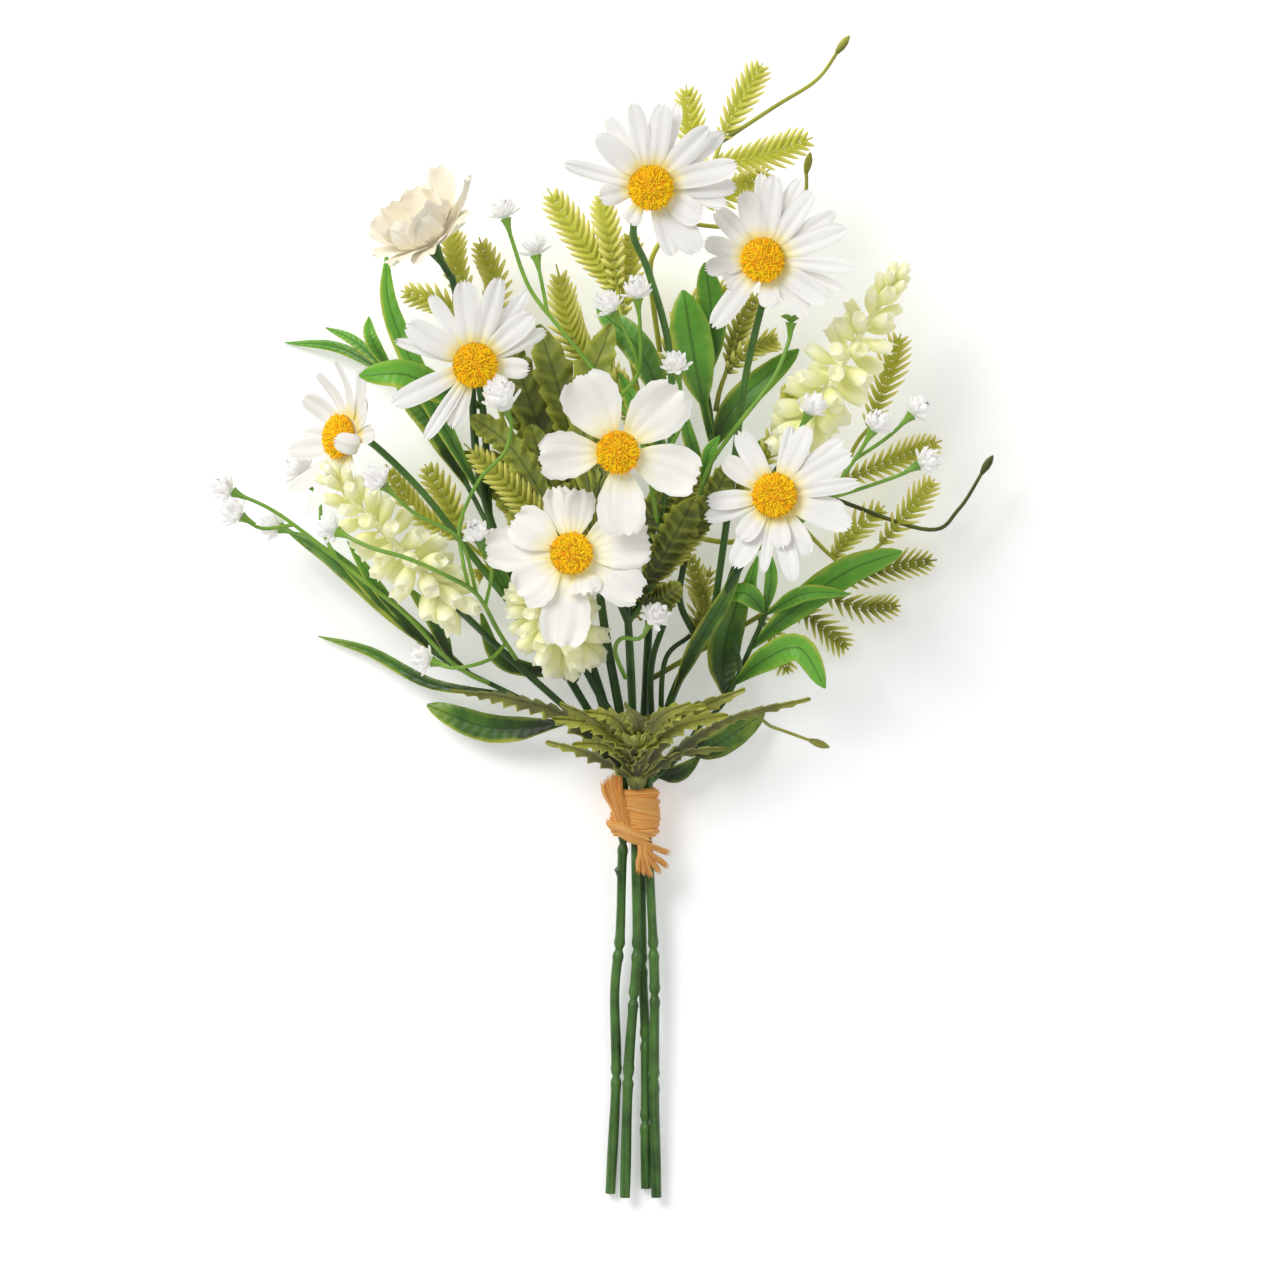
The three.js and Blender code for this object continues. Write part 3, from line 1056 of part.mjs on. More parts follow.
function meshOf( { name, label, solids } ) {

	const body = largest( joined( solids ).subtract( slab() ) );
	const { vertProperties, triVerts } = body.getMesh();
	const geometry = new THREE.BufferGeometry();
	geometry.setAttribute( 'position', new THREE.BufferAttribute( vertProperties, 3 ) );
	geometry.setIndex( new THREE.BufferAttribute( triVerts, 1 ) );
	geometry.computeVertexNormals();
	const material = new THREE.MeshStandardMaterial( { color: COLOURS[ label ], roughness: 0.6, metalness: 0 } );
	const mesh = new THREE.Mesh( geometry, material );
	mesh.name = name;
	return mesh;

}

const bunch = new THREE.Group();
for ( const piece of pieces ) bunch.add( meshOf( piece ) );

const box = new THREE.Box3().setFromObject( bunch );
const middle = box.getCenter( new THREE.Vector3() );
bunch.position.set( - middle.x, - middle.y, - box.min.z );

export default bunch;
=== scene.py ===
"""A bunch of artificial daisies and filler sprays, tied with raffia and laid on a pale floor.

Places and sizes are in millimetres from the middle of the tie, as in the solid model,
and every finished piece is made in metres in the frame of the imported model.
"""

import math
import random

import bmesh
import bpy
from bpy.props import FloatProperty, FloatVectorProperty, IntProperty, PointerProperty
from mathutils import Matrix, Vector


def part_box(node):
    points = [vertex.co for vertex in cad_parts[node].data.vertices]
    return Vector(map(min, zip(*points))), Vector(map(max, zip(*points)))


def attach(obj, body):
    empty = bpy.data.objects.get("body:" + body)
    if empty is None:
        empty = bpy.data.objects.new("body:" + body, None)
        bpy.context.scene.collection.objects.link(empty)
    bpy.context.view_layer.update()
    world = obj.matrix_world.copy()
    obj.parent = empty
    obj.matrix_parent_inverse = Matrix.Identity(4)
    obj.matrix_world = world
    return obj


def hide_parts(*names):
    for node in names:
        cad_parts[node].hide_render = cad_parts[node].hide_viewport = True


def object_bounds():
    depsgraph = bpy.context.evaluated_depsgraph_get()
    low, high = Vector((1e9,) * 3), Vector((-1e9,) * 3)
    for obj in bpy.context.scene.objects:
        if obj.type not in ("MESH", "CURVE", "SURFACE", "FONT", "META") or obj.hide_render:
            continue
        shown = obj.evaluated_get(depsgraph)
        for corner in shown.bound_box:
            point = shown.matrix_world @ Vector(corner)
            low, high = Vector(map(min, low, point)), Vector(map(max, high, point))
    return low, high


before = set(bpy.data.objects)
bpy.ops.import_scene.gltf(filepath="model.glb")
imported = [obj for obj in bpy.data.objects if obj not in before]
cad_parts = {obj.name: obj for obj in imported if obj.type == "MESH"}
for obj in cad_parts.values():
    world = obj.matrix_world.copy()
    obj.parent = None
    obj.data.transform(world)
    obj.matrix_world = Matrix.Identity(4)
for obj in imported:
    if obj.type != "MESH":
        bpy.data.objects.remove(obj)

bl_info = {
    "name": "Daisy Bunch",
    "version": (1, 0, 0),
    "blender": (4, 5, 0),
    "location": "View3D > Sidebar > Daisies",
    "description": "Dresses a packed bunch of artificial daisies with petals, leaves, florets and raffia",
    "category": "Object",
}

CAD_BOX = [list(corner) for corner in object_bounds()]
MM = 0.001
UP = Vector((0, 0, 1))
RIGHT = Vector((1, 0, 0))

# Lowest corner of the tie's box, in millimetres from the middle of the tie
TIE_CORNER = Vector((-9.724, -20, 3.756))
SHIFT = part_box("raffia_tie")[0] / MM - TIE_CORNER
TIE_PLACE = SHIFT.y * MM

# Driving dimensions, the same as those of the solids

GAP = 0.3
STEM_RADIUS = 1.6
BRANCH_RADIUS = 1.1
PETIOLE_RADIUS = 0.8
FERN_STEM_RADIUS = 0.9
TWIG_RADIUS = 0.75
DAISY_DISC = (6.9, 4.6)
COSMOS_DISC = (6.6, 4.2)
CREAM_DISC = (2.6, 2.4)
CORE_RADIUS = 6.2
CORE_ABOVE = 0.75
CORE_BELOW = 1.4
CALYX_LENGTH = 5.5
CREAM_CALYX_LENGTH = 10.5
TIE_HALF = (6.6, 5.1)
TIE_THICKNESS = 0.9
TIE_MIDDLE = 9.7


# Routes of the four main stems, from the cut end to the last point before their bloom

STEM_LEFT = [
    (-7.6, -117, 1.2), (-5.8, -81, 3), (-6.2, -55, 4.6), (-4.6, -38, 6.2),
    (-4, -16.5, 8.2), (-3.4, 0, 9.7), (-4.8, 13.5, 10.5), (-18, 37.5, 13),
    (-34.5, 64.5, 17), (-46.5, 100.5, 33),
]
STEM_FRONT = [
    (-3.1, -118, 3.6), (-2.1, -81, 5.2), (-0.4, -56.7, 7), (0.6, -42, 8),
    (0.3, -16.5, 10.6), (0, 0, 12), (-0.3, 13.5, 13.8), (-0.9, 34.5, 22),
    (-2.1, 58.5, 35), (-4, 86, 46),
]
STEM_BACK = [
    (3.3, -115.5, 1.2), (3.2, -95, 1.9), (3.2, -70, 2.3), (2.2, -47, 3.3),
    (1.8, -19.5, 5.6), (0.2, 0, 7.4), (1.5, 13.5, 8.3), (3, 34.5, 9),
    (4.5, 64.5, 10), (6, 109.5, 12), (7.5, 139.5, 14),
]
STEM_RIGHT = [
    (6.5, -118, 2.9), (5.8, -82, 4.9), (6, -56.3, 5.8), (5.6, -41.7, 6.6),
    (4.3, -16.5, 8.6), (3.4, 0, 9.7), (5.1, 13.5, 11), (11.1, 35, 17),
    (19.5, 52.5, 22), (30, 72, 34),
]

# Blooms: centre, direction that they face, and petals as
# [direction in degrees, length, half width, lift in degrees, layer]

DAISY_TOP = {"at": (4.7, 185.8, 66), "face": (0, -0.2, 0.98), "petals": [
    (81, 25.4, 3.5, 4, 1), (72, 26, 2.8, -6, 0), (46, 25.2, 3.6, 4, 1), (36, 27, 3, -6, 0),
    (15, 26.8, 3.6, 5, 1), (-1, 25.6, 3.2, -5, 0), (-13, 23.6, 2.4, -3, 0),
    (-32, 18.4, 4, 18, 1), (-54, 24.4, 4.4, 6, 0), (-72, 22, 3.2, 2, 0),
    (-122, 13.4, 3, 25, 0), (-170, 16.5, 3.4, 25, 0), (165, 27, 2.5, 0, 1),
    (136, 22.6, 3.5, 8, 1), (122, 24.4, 3, -4, 0), (102, 26, 3, 4, 1),
]}
DAISY_UPPER_RIGHT = {"at": (38.3, 165.2, 56), "face": (-0.25, -0.15, 0.95), "petals": [
    (82, 26, 3.4, 4, 1), (93, 25.9, 2.4, -4, 0), (105, 21.6, 4.1, 6, 1), (66, 26.4, 3, -4, 0),
    (54, 25.8, 3.2, 4, 1), (34, 26, 2.8, -4, 0), (21, 27.6, 3.4, 5, 1), (-4, 28.6, 2.4, 2, 1),
    (-21, 26, 2.4, -6, 0), (-31, 23.4, 3.6, 4, 1), (-52, 22.4, 3, 0, 0),
    (-80, 15, 3.4, 10, 1), (-127, 25.9, 3.4, 3, 1), (-148, 15, 3.2, 20, 0),
    (-170, 18.4, 3, 12, 1), (165, 19.4, 3, 8, 0), (135, 21, 3.4, 2, 1),
]}
DAISY_LEFT = {"at": (-47.5, 133.9, 58), "face": (0.12, -0.1, 0.98), "petals": [
    (74, 27.3, 3.4, 4, 1), (98, 25.7, 4, 5, 1), (122, 24.7, 2.5, 2, 0), (149, 23.9, 4, 5, 1),
    (163, 24.8, 2, -3, 0), (-155, 27.4, 3.5, 2, 1), (-124, 26.8, 2.2, 0, 1),
    (-110, 20.4, 2.8, 4, 0), (-5, 16.8, 3.2, 6, 1), (25, 24, 2.5, 3, 0),
    (41, 23.4, 3.5, 6, 1), (54, 27.3, 2.6, -2, 0),
]}
DAISY_FAR_LEFT = {"at": (-87, 113.3, 34), "face": (-0.767, 0.102, 0.634), "petals": [
    (187, 21.6, 3.4, 35, 1), (168, 18, 2.8, 24, 0), (131, 20.6, 3.7, 35, 1),
    (103, 23, 2.6, 32, 0), (68, 26, 2.8, 33, 1), (50, 26, 2.8, 20, 0), (22, 23, 2.6, 26, 1),
    (-4, 18, 3, 12, 0), (-26, 17, 3.2, 112, 1), (-72, 19, 2.8, 4, 1),
    (-95, 23, 2.6, 6, 0), (-118, 26.2, 3.2, 15, 1), (-140, 25.6, 3, 30, 0),
]}
DAISY_RIGHT = {"at": (41.4, 95, 60), "face": (-0.12, 0.1, 0.98), "petals": [
    (119, 22.4, 3.4, 5, 1), (144, 19.4, 3.4, 8, 0), (-176, 20.7, 3, 5, 1), (-163, 22.2, 2.7, 0, 0),
    (-129, 17.2, 3.4, 10, 1), (-121, 24.7, 3.8, -3, 0), (-99, 23.5, 1.8, 0, 0),
    (-81, 16.6, 3, 10, 1), (-78, 26.4, 3, 0, 0), (-61, 20.7, 3.2, -2, 0),
    (-23, 25, 3.8, 4, 1), (-12, 21.7, 3, -4, 0), (8, 25.7, 2.4, 3, 1), (28, 26.3, 3.5, 5, 1),
    (40, 26.6, 3, -4, 0), (64, 23.4, 3.4, 2, 1), (77, 21.9, 2, 0, 0),
]}
COSMOS_UPPER = {"at": (-5, 107.9, 67), "face": (0, -0.15, 0.98), "petals": [
    (117, 26.2, 8.6, 7, 1), (46, 26.8, 8.2, 7, 0), (-18, 25.4, 7.4, 6, 1),
    (-86, 25.5, 7.2, 5, 0), (-176, 24, 7.2, 7, 1),
]}
COSMOS_LOWER = {"at": (-18.8, 77.8, 56), "face": (0, 0.15, 0.98), "petals": [
    (103, 21.4, 4.6, 5, 0), (80, 20.2, 4.6, 8, 1), (28, 24.6, 6.4, 3, 0), (4, 24.2, 5.8, 6, 1),
    (-30, 24.4, 6.2, -3, 0), (-68, 13.6, 5, 20, 1), (-96, 28, 7.4, -4, 0),
    (-142, 20.4, 7, 8, 1), (176, 25.9, 6.6, 3, 0), (148, 20.8, 6.6, 7, 1),
]}
CREAM_BLOOM = {"at": (-61.7, 171.9, 45), "face": (-0.458, 0.763, 0.458), "petals": [
    (30, 24, 4.8, 50, 1), (75, 20, 4.8, 48, 0), (125, 19.2, 5, 48, 0), (172, 19, 4.4, 50, 1),
    (188, 18, 3.6, 22, 0), (237, 19, 4.4, 20, 0), (282, 17, 4.2, 12, 0), (298, 20, 4, 58, 1),
    (12, 24.5, 3.6, 34, 0), (332, 18.5, 4.4, 22, 0),
]}

# Petals that fill the middle of the cream bloom, and how much wider its cloth petals spread

CREAM_SPREAD = 1.6
CREAM_INNER_PETALS = [
    (232, 17, 7.4, 56, 1), (272, 18.5, 7.8, 68, 0), (318, 17.5, 7.4, 60, 1), (20, 19, 7, 66, 0),
    (150, 18.5, 7, 64, 1),
]

# Branches, each starting on the stem that carries it

BRANCH_FAR_LEFT = [(-22.5, 43.5, 17), (-46, 74, 25), (-64, 97, 27)]
BRANCH_CREAM = [(-42, 88.5, 30), (-46, 124.5, 35), (-54, 158, 40)]
BRANCH_BELLS_LEFT = [(-10.5, 19.5, 12), (-34.5, 44, 19), (-49, 58, 34)]
BRANCH_LEAVES_LEFT = [(-11.1, 20, 12), (-34.5, 34.5, 13), (-55.5, 45, 14), (-66, 52.5, 15)]
BRANCH_THIN_LEFT = [(-39, 81, 22), (-55.5, 107.4, 17), (-74.1, 133.5, 12)]
BRANCH_COSMOS_LOWER = [(-2.1, 58.5, 36), (-6, 66, 42), (-13, 73, 46)]
BRANCH_DAISY_TOP = [
    (-2.1, 58.5, 36), (5, 70, 35), (9, 94.5, 35), (11.1, 118.5, 38), (9.9, 141, 44),
    (4, 162, 50), (-0.5, 174, 55),
]
BRANCH_BELLS_LOW = [(-1.5, 22.5, 17), (-9, 33, 18), (-15.5, 44.5, 21)]
BRANCH_UPPER_RIGHT = [(24.3, 61.5, 27), (28.5, 94.5, 30), (33, 130.5, 38), (38.5, 155, 45)]
BRANCH_BELLS_RIGHT = [(27, 67.5, 31), (37.5, 94.5, 31), (45, 107, 36)]
BRANCH_UPRIGHT = [
    (16.5, 54.3, 20), (13.8, 63.3, 21), (14.4, 73.5, 24), (18, 88.5, 26), (23.1, 112.5, 28),
    (20.7, 132.9, 28),
]
BRANCH_LEAVES_RIGHT = [
    (4.8, 9, 10.6), (13.5, 17.1, 10), (19.5, 26.1, 12), (27.6, 34.5, 15), (36, 52.5, 20),
    (39.9, 61.5, 24),
]

# Smooth leaves: route and half width, in the order of the branch that they grow on

LEAVES_LEFT = {"left": [
    ([(-40.5, 94.5, 31), (-61.5, 124.5, 28), (-73.5, 151.5, 28), (-75, 169.5, 28)], 3.2),
    ([(-28.5, 34.5, 14), (-40.5, 46.5, 15), (-47.1, 61.5, 18)], 2.6),
], "cream": [
    ([(-46.5, 122, 35), (-58, 127, 46), (-69, 131.5, 51), (-82, 131, 50)], 4.5),
], "thin": [
    ([(-74, 133.5, 12), (-90, 141.6, 6), (-107.4, 143.7, -0.1)], 1.6),
    ([(-74, 133.5, 12), (-84.9, 143.1, 9), (-94.5, 147.9, 7)], 1.6),
    ([(-73, 132.5, 12), (-80.1, 144, 15), (-81, 150.9, 13)], 2),
    ([(-50, 99, 19), (-61.5, 118.5, 17), (-72, 129, 17)], 4.2),
], "leaves": [
    ([(-49.5, 41, 14), (-70.5, 58.5, 16), (-91.5, 76.5, 13), (-107.1, 86.4, 8)], 3),
    ([(-58.5, 48, 15), (-76.5, 64.5, 19), (-93, 81, 19)], 2.6),
    ([(-64.5, 52.5, 15), (-79, 70, 22), (-87, 82.5, 23)], 1.8),
    ([(-39, 35, 13), (-61.5, 39, 8), (-81, 48.9, 4), (-97.2, 53.7, 1.5)], 1.8),
    ([(-22.5, 24.5, 12.5), (-43.5, 25.5, 9), (-63.6, 32.7, 6)], 4.3),
    ([(-54, 46.5, 14), (-60.9, 58.5, 20), (-69, 69, 23)], 2.4),
]}
LEAVES_FRONT = {"top": [
    ([(10.8, 118.5, 38), (1.5, 139, 38), (-11.4, 152.1, 35)], 4.4),
    ([(10.2, 108, 36), (2, 119, 37), (-5, 132.9, 37)], 3.2),
]}
LEAVES_RIGHT = {"upright": [
    ([(22.5, 112.5, 28), (18.6, 133.5, 32), (14.4, 157.5, 35)], 6.2),
    ([(20.8, 132, 28), (23.1, 148.5, 30), (21, 165.9, 33)], 4.4),
    ([(19.5, 100.5, 27), (16.5, 112.5, 33), (14.1, 123, 33)], 2),
    ([(19, 97, 27), (22, 108, 33), (25.5, 114, 33)], 2),
    ([(23, 110, 28), (31.5, 124.5, 23), (49.5, 140.4, 23)], 4.2),
    ([(17.8, 84, 25), (26, 100, 23), (40, 112, 19), (58, 113.4, 16)], 2.2),
], "leavesRight": [
    ([(35, 49.5, 19), (49.5, 63, 26), (64.5, 73.5, 30), (80.4, 79.2, 29)], 4.6),
    ([(39.4, 60.9, 24), (51, 66.5, 32), (64.8, 66.3, 33)], 2.4),
    ([(39, 60, 24), (34.5, 67, 27), (37, 78, 28)], 2.2),
    ([(39.9, 61.5, 24), (41, 71, 29), (40, 80, 32)], 1.9),
    ([(27.6, 34.5, 15), (27, 50, 14), (33, 70, 16)], 5),
    ([(30, 39, 16.5), (39, 46.5, 26), (49.5, 50.1, 31), (57.3, 38, 28)], 4.2),
    ([(15, 18.5, 10.5), (25.5, 21, 9), (39.6, 30.3, 7)], 4.2),
    ([(7, 10.5, 10.4), (13.5, 12, 9), (20, 17, 8)], 2.6),
]}

# Saw-edged leaves round the two broad-petalled blooms: branch, route, half width and brightness

SAW_LEAVES = [
    ("lower", [(-12.5, 72.5, 46), (-24, 95, 38), (-31.5, 117, 38)], 6, 0.95),
    ("lower", [(-12, 72, 45), (-25, 108, 33), (-39, 127, 30)], 5.4, 0.3),
    ("lower", [(-11, 71, 45), (-10.5, 95, 41), (-11.5, 118.5, 39), (-13.5, 139, 37)], 5, 0.6),
    ("lower", [(-13, 73, 46), (-24, 90, 31), (-38, 103, 25), (-54, 108.7, 25)], 4.8, 0.75),
    ("front", [(-2.4, 62, 38), (8, 77, 38), (17.5, 94.5, 38)], 6, 0.15),
    ("front", [(-3, 66, 40), (6, 64, 41), (14, 69, 40)], 4.6, 0.1),
    ("front", [(-2.1, 58.5, 35), (-1, 80, 34), (7, 93, 35), (12.5, 101, 36)], 4.6, 0.2),
    ("upright", [(14.4, 73.5, 24), (17, 84, 30), (23.5, 95, 33), (29, 106, 33)], 4.6, 0.35),
    ("lower", [(-12, 72, 45), (-20, 98, 30), (-29, 117, 27), (-34, 125, 27)], 5, 0.1),
    ("lower", [(-13, 72, 45), (-26, 88, 33), (-40, 98, 28), (-47, 106, 30)], 4.6, 0.8),
    ("lower", [(-11.5, 72, 45), (-17, 104, 38), (-22, 125, 39), (-29, 147, 37)], 6, 0.6),
    ("lower", [(-11, 72, 45), (-14, 100, 40), (-15, 124, 42), (-7, 147, 41)], 6, 1.0),
    ("lower", [(-12, 72, 45), (-22, 100, 34), (-33, 128, 33), (-38, 145, 34)], 5.4, 0.35),
    ("lower", [(-13, 73, 46), (-27, 95, 44), (-38, 111, 47), (-49, 119, 48)], 4.8, 0.9),
]

# Dark fern fronds low in the middle of the bunch: branch, route, half width and brightness

FILL_FRONDS = [
    ("left", [(-18, 37.5, 13), (-26, 60, 20), (-33, 86, 25), (-43, 99.5, 26)], 4.6, 0.25),
    ("left", [(-18, 37.5, 13), (-24, 62, 18), (-30, 82, 22), (-39, 91, 22)], 4.2, 0.2),
    ("back", [(6, 109.5, 12), (0, 120, 16), (-8, 134, 21), (-20, 148, 25)], 4.4, 0.45),
    ("front", [(-2.1, 58.5, 35), (6, 72, 31), (13, 80, 30), (21, 88, 31)], 4.8, 0.15),
    ("upright", [(16.5, 54.3, 20), (21, 62, 19), (19, 70, 20), (16.5, 79, 22)], 4, 0.45),
    ("back", [(4.5, 64.5, 10), (9, 84, 14), (15, 96, 17), (22, 104, 20)], 4.6, 0.2),
    ("back", [(7.5, 139.5, 14), (14, 150, 18), (24, 156, 22), (33, 158, 25)], 4.4, 0.55),
    ("upperRight", [(28.5, 94.5, 30), (38, 106, 26), (46, 120, 24), (47, 131, 25)], 4.4, 0.45),
    ("lower", [(-13, 73, 46), (-26, 86, 44), (-38, 99, 46), (-51, 111, 47)], 5, 0.35),
]

# Stems that fill the gaps low down, with a cut stub and a knob: carrier, route, radius and node

FILL_STEMS = [
    ("left", [(-3.6, 8, 10), (-9.3, 31.8, 15), (-14.4, 48.6, 20), (-17, 60, 25)], 1.8, "stem_left"),
    ("front", [(-0.1, 8, 13), (-4.8, 31.8, 17), (-8.4, 51.3, 24), (-10.5, 66, 33)], 1.6, "stem_front"),
    ("right", [(5.6, 16, 11.5), (4.8, 42.6, 15), (8.7, 57.3, 20), (14.2, 72, 24)], 1.1, "stem_right"),
    ("right", [(8, 25, 13.5), (9, 46, 19), (16.8, 54, 20)], 0.9, "stem_right"),
    ("leavesRight", [(31, 42.5, 17.5), (31.5, 46, 22), (30, 52, 24.5)], 0.9, "stem_right"),
    ("left", [(-3.8, -18.6, 8), (-4.8, -17.8, 8.5), (-5.4, -17.1, 8.9)], 1.5, "stem_left"),
]

# Leaves that sheathe a fork: node, route, half width and brightness

SHEATH_LEAVES = [
    ("stem_right", [(11.5, 36, 18.6), (18, 50, 24.5), (27, 65, 31), (33, 79, 33)], 2.6, 0.15),
    ("stem_left", [(-20, 40, 15), (-33, 58, 20), (-42, 74, 22), (-51, 88, 22)], 2.4, 0.15),
    ("stem_right", [(39.2, 60.5, 24.8), (33.5, 66.5, 29), (25.4, 65.6, 27)], 3.2, 1),
]

# Whorl of olive leaves over the tie, and its tendril

WHORL_HUB = {"at": (0.5, 10.2, 16.6), "half": (3.2, 3.2, 1)}
WHORL_LEAVES = [
    ([(-1, 11.5, 16.8), (-19.5, 28.5, 24), (-38, 35, 26), (-55.5, 37.5, 25)], 4.3),
    ([(-1, 11, 16.6), (-13.5, 18, 19), (-27, 21.9, 17)], 3.4),
    ([(0, 11.5, 17), (-10.5, 27, 30), (-22.5, 33.9, 37)], 4),
    ([(0.5, 11.5, 17), (1.5, 26, 31), (-3, 34, 41)], 4.3),
    ([(1.5, 11.5, 17), (13.5, 28.5, 29), (33, 38.1, 33)], 4),
    ([(2, 11, 16.8), (25.5, 27.5, 23), (53.1, 35, 20)], 3),
    ([(2, 10.5, 16.6), (13.5, 18, 18.5), (27.9, 20, 16)], 2.8),
    ([(1.2, 11.5, 17), (6, 27.9, 33), (16.5, 34, 40)], 3.4),
]
WHORL_INNER_LEAVES = [
    ([(-2, 20, 25), (-12, 27, 30), (-25, 29, 31)], 3.2),
    ([(3, 20, 25), (14, 27, 31), (28, 30, 32)], 3.2),
    ([(0, 21, 27), (-6, 29, 34), (-15, 31, 38)], 3),
    ([(3, 21, 27), (10, 30, 34), (22, 33, 37)], 3),
    ([(-2, 18, 22), (-10, 21, 25), (-19, 21, 25)], 2.6),
]
WHORL_TENDRIL = [(2, 10.5, 16.8), (31.5, 29, 20.5), (42, 26, 18), (54.6, 21.5, 16)]

# Fern sprays: stem, fronds as route and half width, side branches and tendrils

FERN_TOP = {"stem": [
    (7.5, 140.1, 14.1), (4.7, 162, 21), (6.6, 171, 26), (16.5, 184.5, 34), (23.1, 195, 39),
    (26.1, 202.5, 42),
], "fronds": [
    ([(20, 190, 36), (17.1, 204, 38), (15.3, 218.7, 37)], 5),
    ([(26.1, 202.5, 42), (31.5, 213, 46), (38.1, 224.4, 46)], 5),
    ([(23, 194.6, 38.8), (37.5, 197.1, 43), (53.1, 202.5, 43)], 5.5),
    ([(16, 184, 33.5), (29, 187, 33), (40.5, 194, 31)], 5),
], "tendrils": [
    [(26.1, 202.5, 42), (42, 211.5, 48), (54, 219, 50), (60.9, 228.3, 50)],
    [(12, 178, 30), (32, 177, 30), (49.5, 184, 33), (51.6, 194.1, 36)],
]}
FERN_UPPER_LEFT = {"on": "back", "stem": [
    (6, 103.5, 12), (1.5, 124.5, 20), (-3, 145.5, 28), (-5.4, 159, 31),
], "fronds": [
    ([(-5, 157, 30.6), (-15, 171, 34), (-26.4, 188.1, 34)], 5.5),
    ([(-5.4, 159, 31), (-7.5, 172.5, 36), (-10.5, 187, 35)], 4.5),
    ([(-3.9, 150, 29), (-1.5, 163.5, 29), (-1.5, 175.5, 27)], 4.2),
    ([(1.2, 126, 20.5), (-17, 141, 27), (-23.7, 165.3, 34)], 5.6),
    ([(2.2, 121, 18.7), (-8, 131, 25), (-14, 141, 27)], 4),
]}
FERN_LEFT = {"on": "back", "stem": [
    (3.9, 58.5, 10), (-13.5, 82.5, 9), (-34.5, 106.5, 11), (-46.5, 139.5, 19), (-49.5, 153, 23),
], "side": [
    (-13.5, 82.5, 10), (-40.5, 76.5, 11), (-54, 84, 14),
], "fronds": [
    ([(-47.1, 142.5, 20), (-42, 157.5, 26), (-47.1, 174, 27)], 4.8),
    ([(-49.5, 153, 23), (-54, 165, 23), (-55.5, 177, 20)], 4.8),
    ([(-48, 146.5, 21), (-58, 153.9, 20), (-71.1, 158.5, 17)], 4.8),
], "sideFronds": [
    ([(-54, 84, 14), (-57, 94.5, 15), (-64, 106, 13)], 4.6),
    ([(-54, 84, 14), (-66, 91.5, 14), (-76, 106, 11)], 4.2),
    ([(-41, 76.6, 11), (-54, 69, 10), (-64, 65.5, 7)], 3.6),
]}
FERN_RIGHT_HIGH = {"on": "back", "stem": [
    (6, 88.5, 11.5), (31.5, 82.5, 10), (57.6, 93.6, 12), (66.6, 111, 17), (71.1, 117, 19),
], "side": [
    (49.5, 88.5, 11), (64.5, 75, 12.5), (75, 81.9, 14),
], "fronds": [
    ([(71.1, 117, 19), (75.9, 131, 22), (80.4, 145.2, 22)], 5.4),
    ([(62, 101, 14), (79.5, 107.5, 8), (94, 113.7, 0)], 5),
], "sideFronds": [
    ([(75, 81.9, 14), (83.1, 91.5, 17), (90.9, 101.4, 18)], 4.8),
    ([(60, 77.5, 12.5), (66, 85, 14), (76, 93.4, 13)], 5),
], "tendrils": [
    [(75, 81.9, 14), (88.5, 86, 17), (98, 92, 19), (105.9, 104.4, 19)],
]}
FERN_RIGHT_LOW = {"on": "back", "stem": [
    (3.9, 40.5, 9.5), (25.5, 52.5, 7.5), (46.5, 64.5, 7), (61.5, 70, 7),
], "fronds": [
    ([(61.5, 70, 7), (76.5, 74.1, 6), (92.4, 77.1, 3)], 5),
    ([(55, 68, 7), (69, 62.5, 5.5), (81.3, 63, 2.5)], 4.6),
    ([(46.5, 64.5, 7), (57, 57, 4.5), (65.4, 49.5, 2)], 4.8),
    ([(38, 59.6, 7.2), (44, 51, 4), (47, 42, 0)], 4.2),
    ([(19.5, 49, 8), (19.5, 61.5, 7), (23.1, 75, 6)], 4.2),
]}
FERN_MID = {"on": "upright", "stem": [(22.4, 121, 28), (25.6, 128, 26), (28.5, 136, 26)], "fronds": [
    ([(28.5, 136, 26), (31.5, 146, 25.5), (37, 157, 27)], 5),
    ([(27.4, 133, 26), (35, 140, 31), (43, 143, 33)], 4.2),
]}

# Bright twigs: trunk, side twigs and the head at each end

TWIG_LEFT = {"on": "bellsLeft", "trunk": [
    (-37.5, 46.5, 21), (-41, 55, 33), (-47, 66, 48), (-55.5, 71.4, 57), (-66.9, 76.5, 62),
    (-78, 79.8, 62), (-88, 84.5, 58),
], "sides": [
    [(-47, 66, 48), (-51.9, 82.2, 58), (-64.8, 89.7, 62), (-74, 98, 65)],
    [(-44, 63, 43), (-42.6, 73.5, 51), (-45.9, 82, 55)],
    [(-49.5, 68, 51), (-51, 76, 54.5), (-52, 87, 52), (-46, 99.9, 57), (-38.4, 108, 60),
     (-36.4, 116, 64), (-38, 120.5, 66)],
    [(-40, 51, 28), (-44, 46.5, 33), (-54, 44.1, 36), (-61, 46, 35)],
], "heads": ["head_04", "head_05", "head_06", "head_09", "head_07"]}
TWIG_FAR_LEFT = {"on": "leaves", "trunk": [
    (-44, 39.4, 13.4), (-51, 42.5, 17.5), (-58, 48, 21), (-69, 60, 25), (-81.9, 70.5, 28),
    (-98.1, 83.7, 30), (-109.5, 91.8, 31), (-121, 97, 30),
], "sides": [
    [(-103, 87, 30.5), (-112, 86, 34), (-118, 89.5, 36)],
    [(-98.1, 83.7, 30), (-103.5, 84.9, 26), (-107, 86.3, 24)],
    [(-90, 77, 29.4), (-94.5, 86, 27), (-95.5, 94.5, 22), (-100.5, 102, 20)],
], "heads": ["head_01", "head_02", "head_03", "head_10"]}
TWIG_LOW = {"on": "front", "trunk": [
    (-1.2, 43, 26), (-6, 49, 36), (-4, 53, 42), (1.5, 53, 44), (5, 58, 49),
], "sides": [], "heads": ["head_08"]}
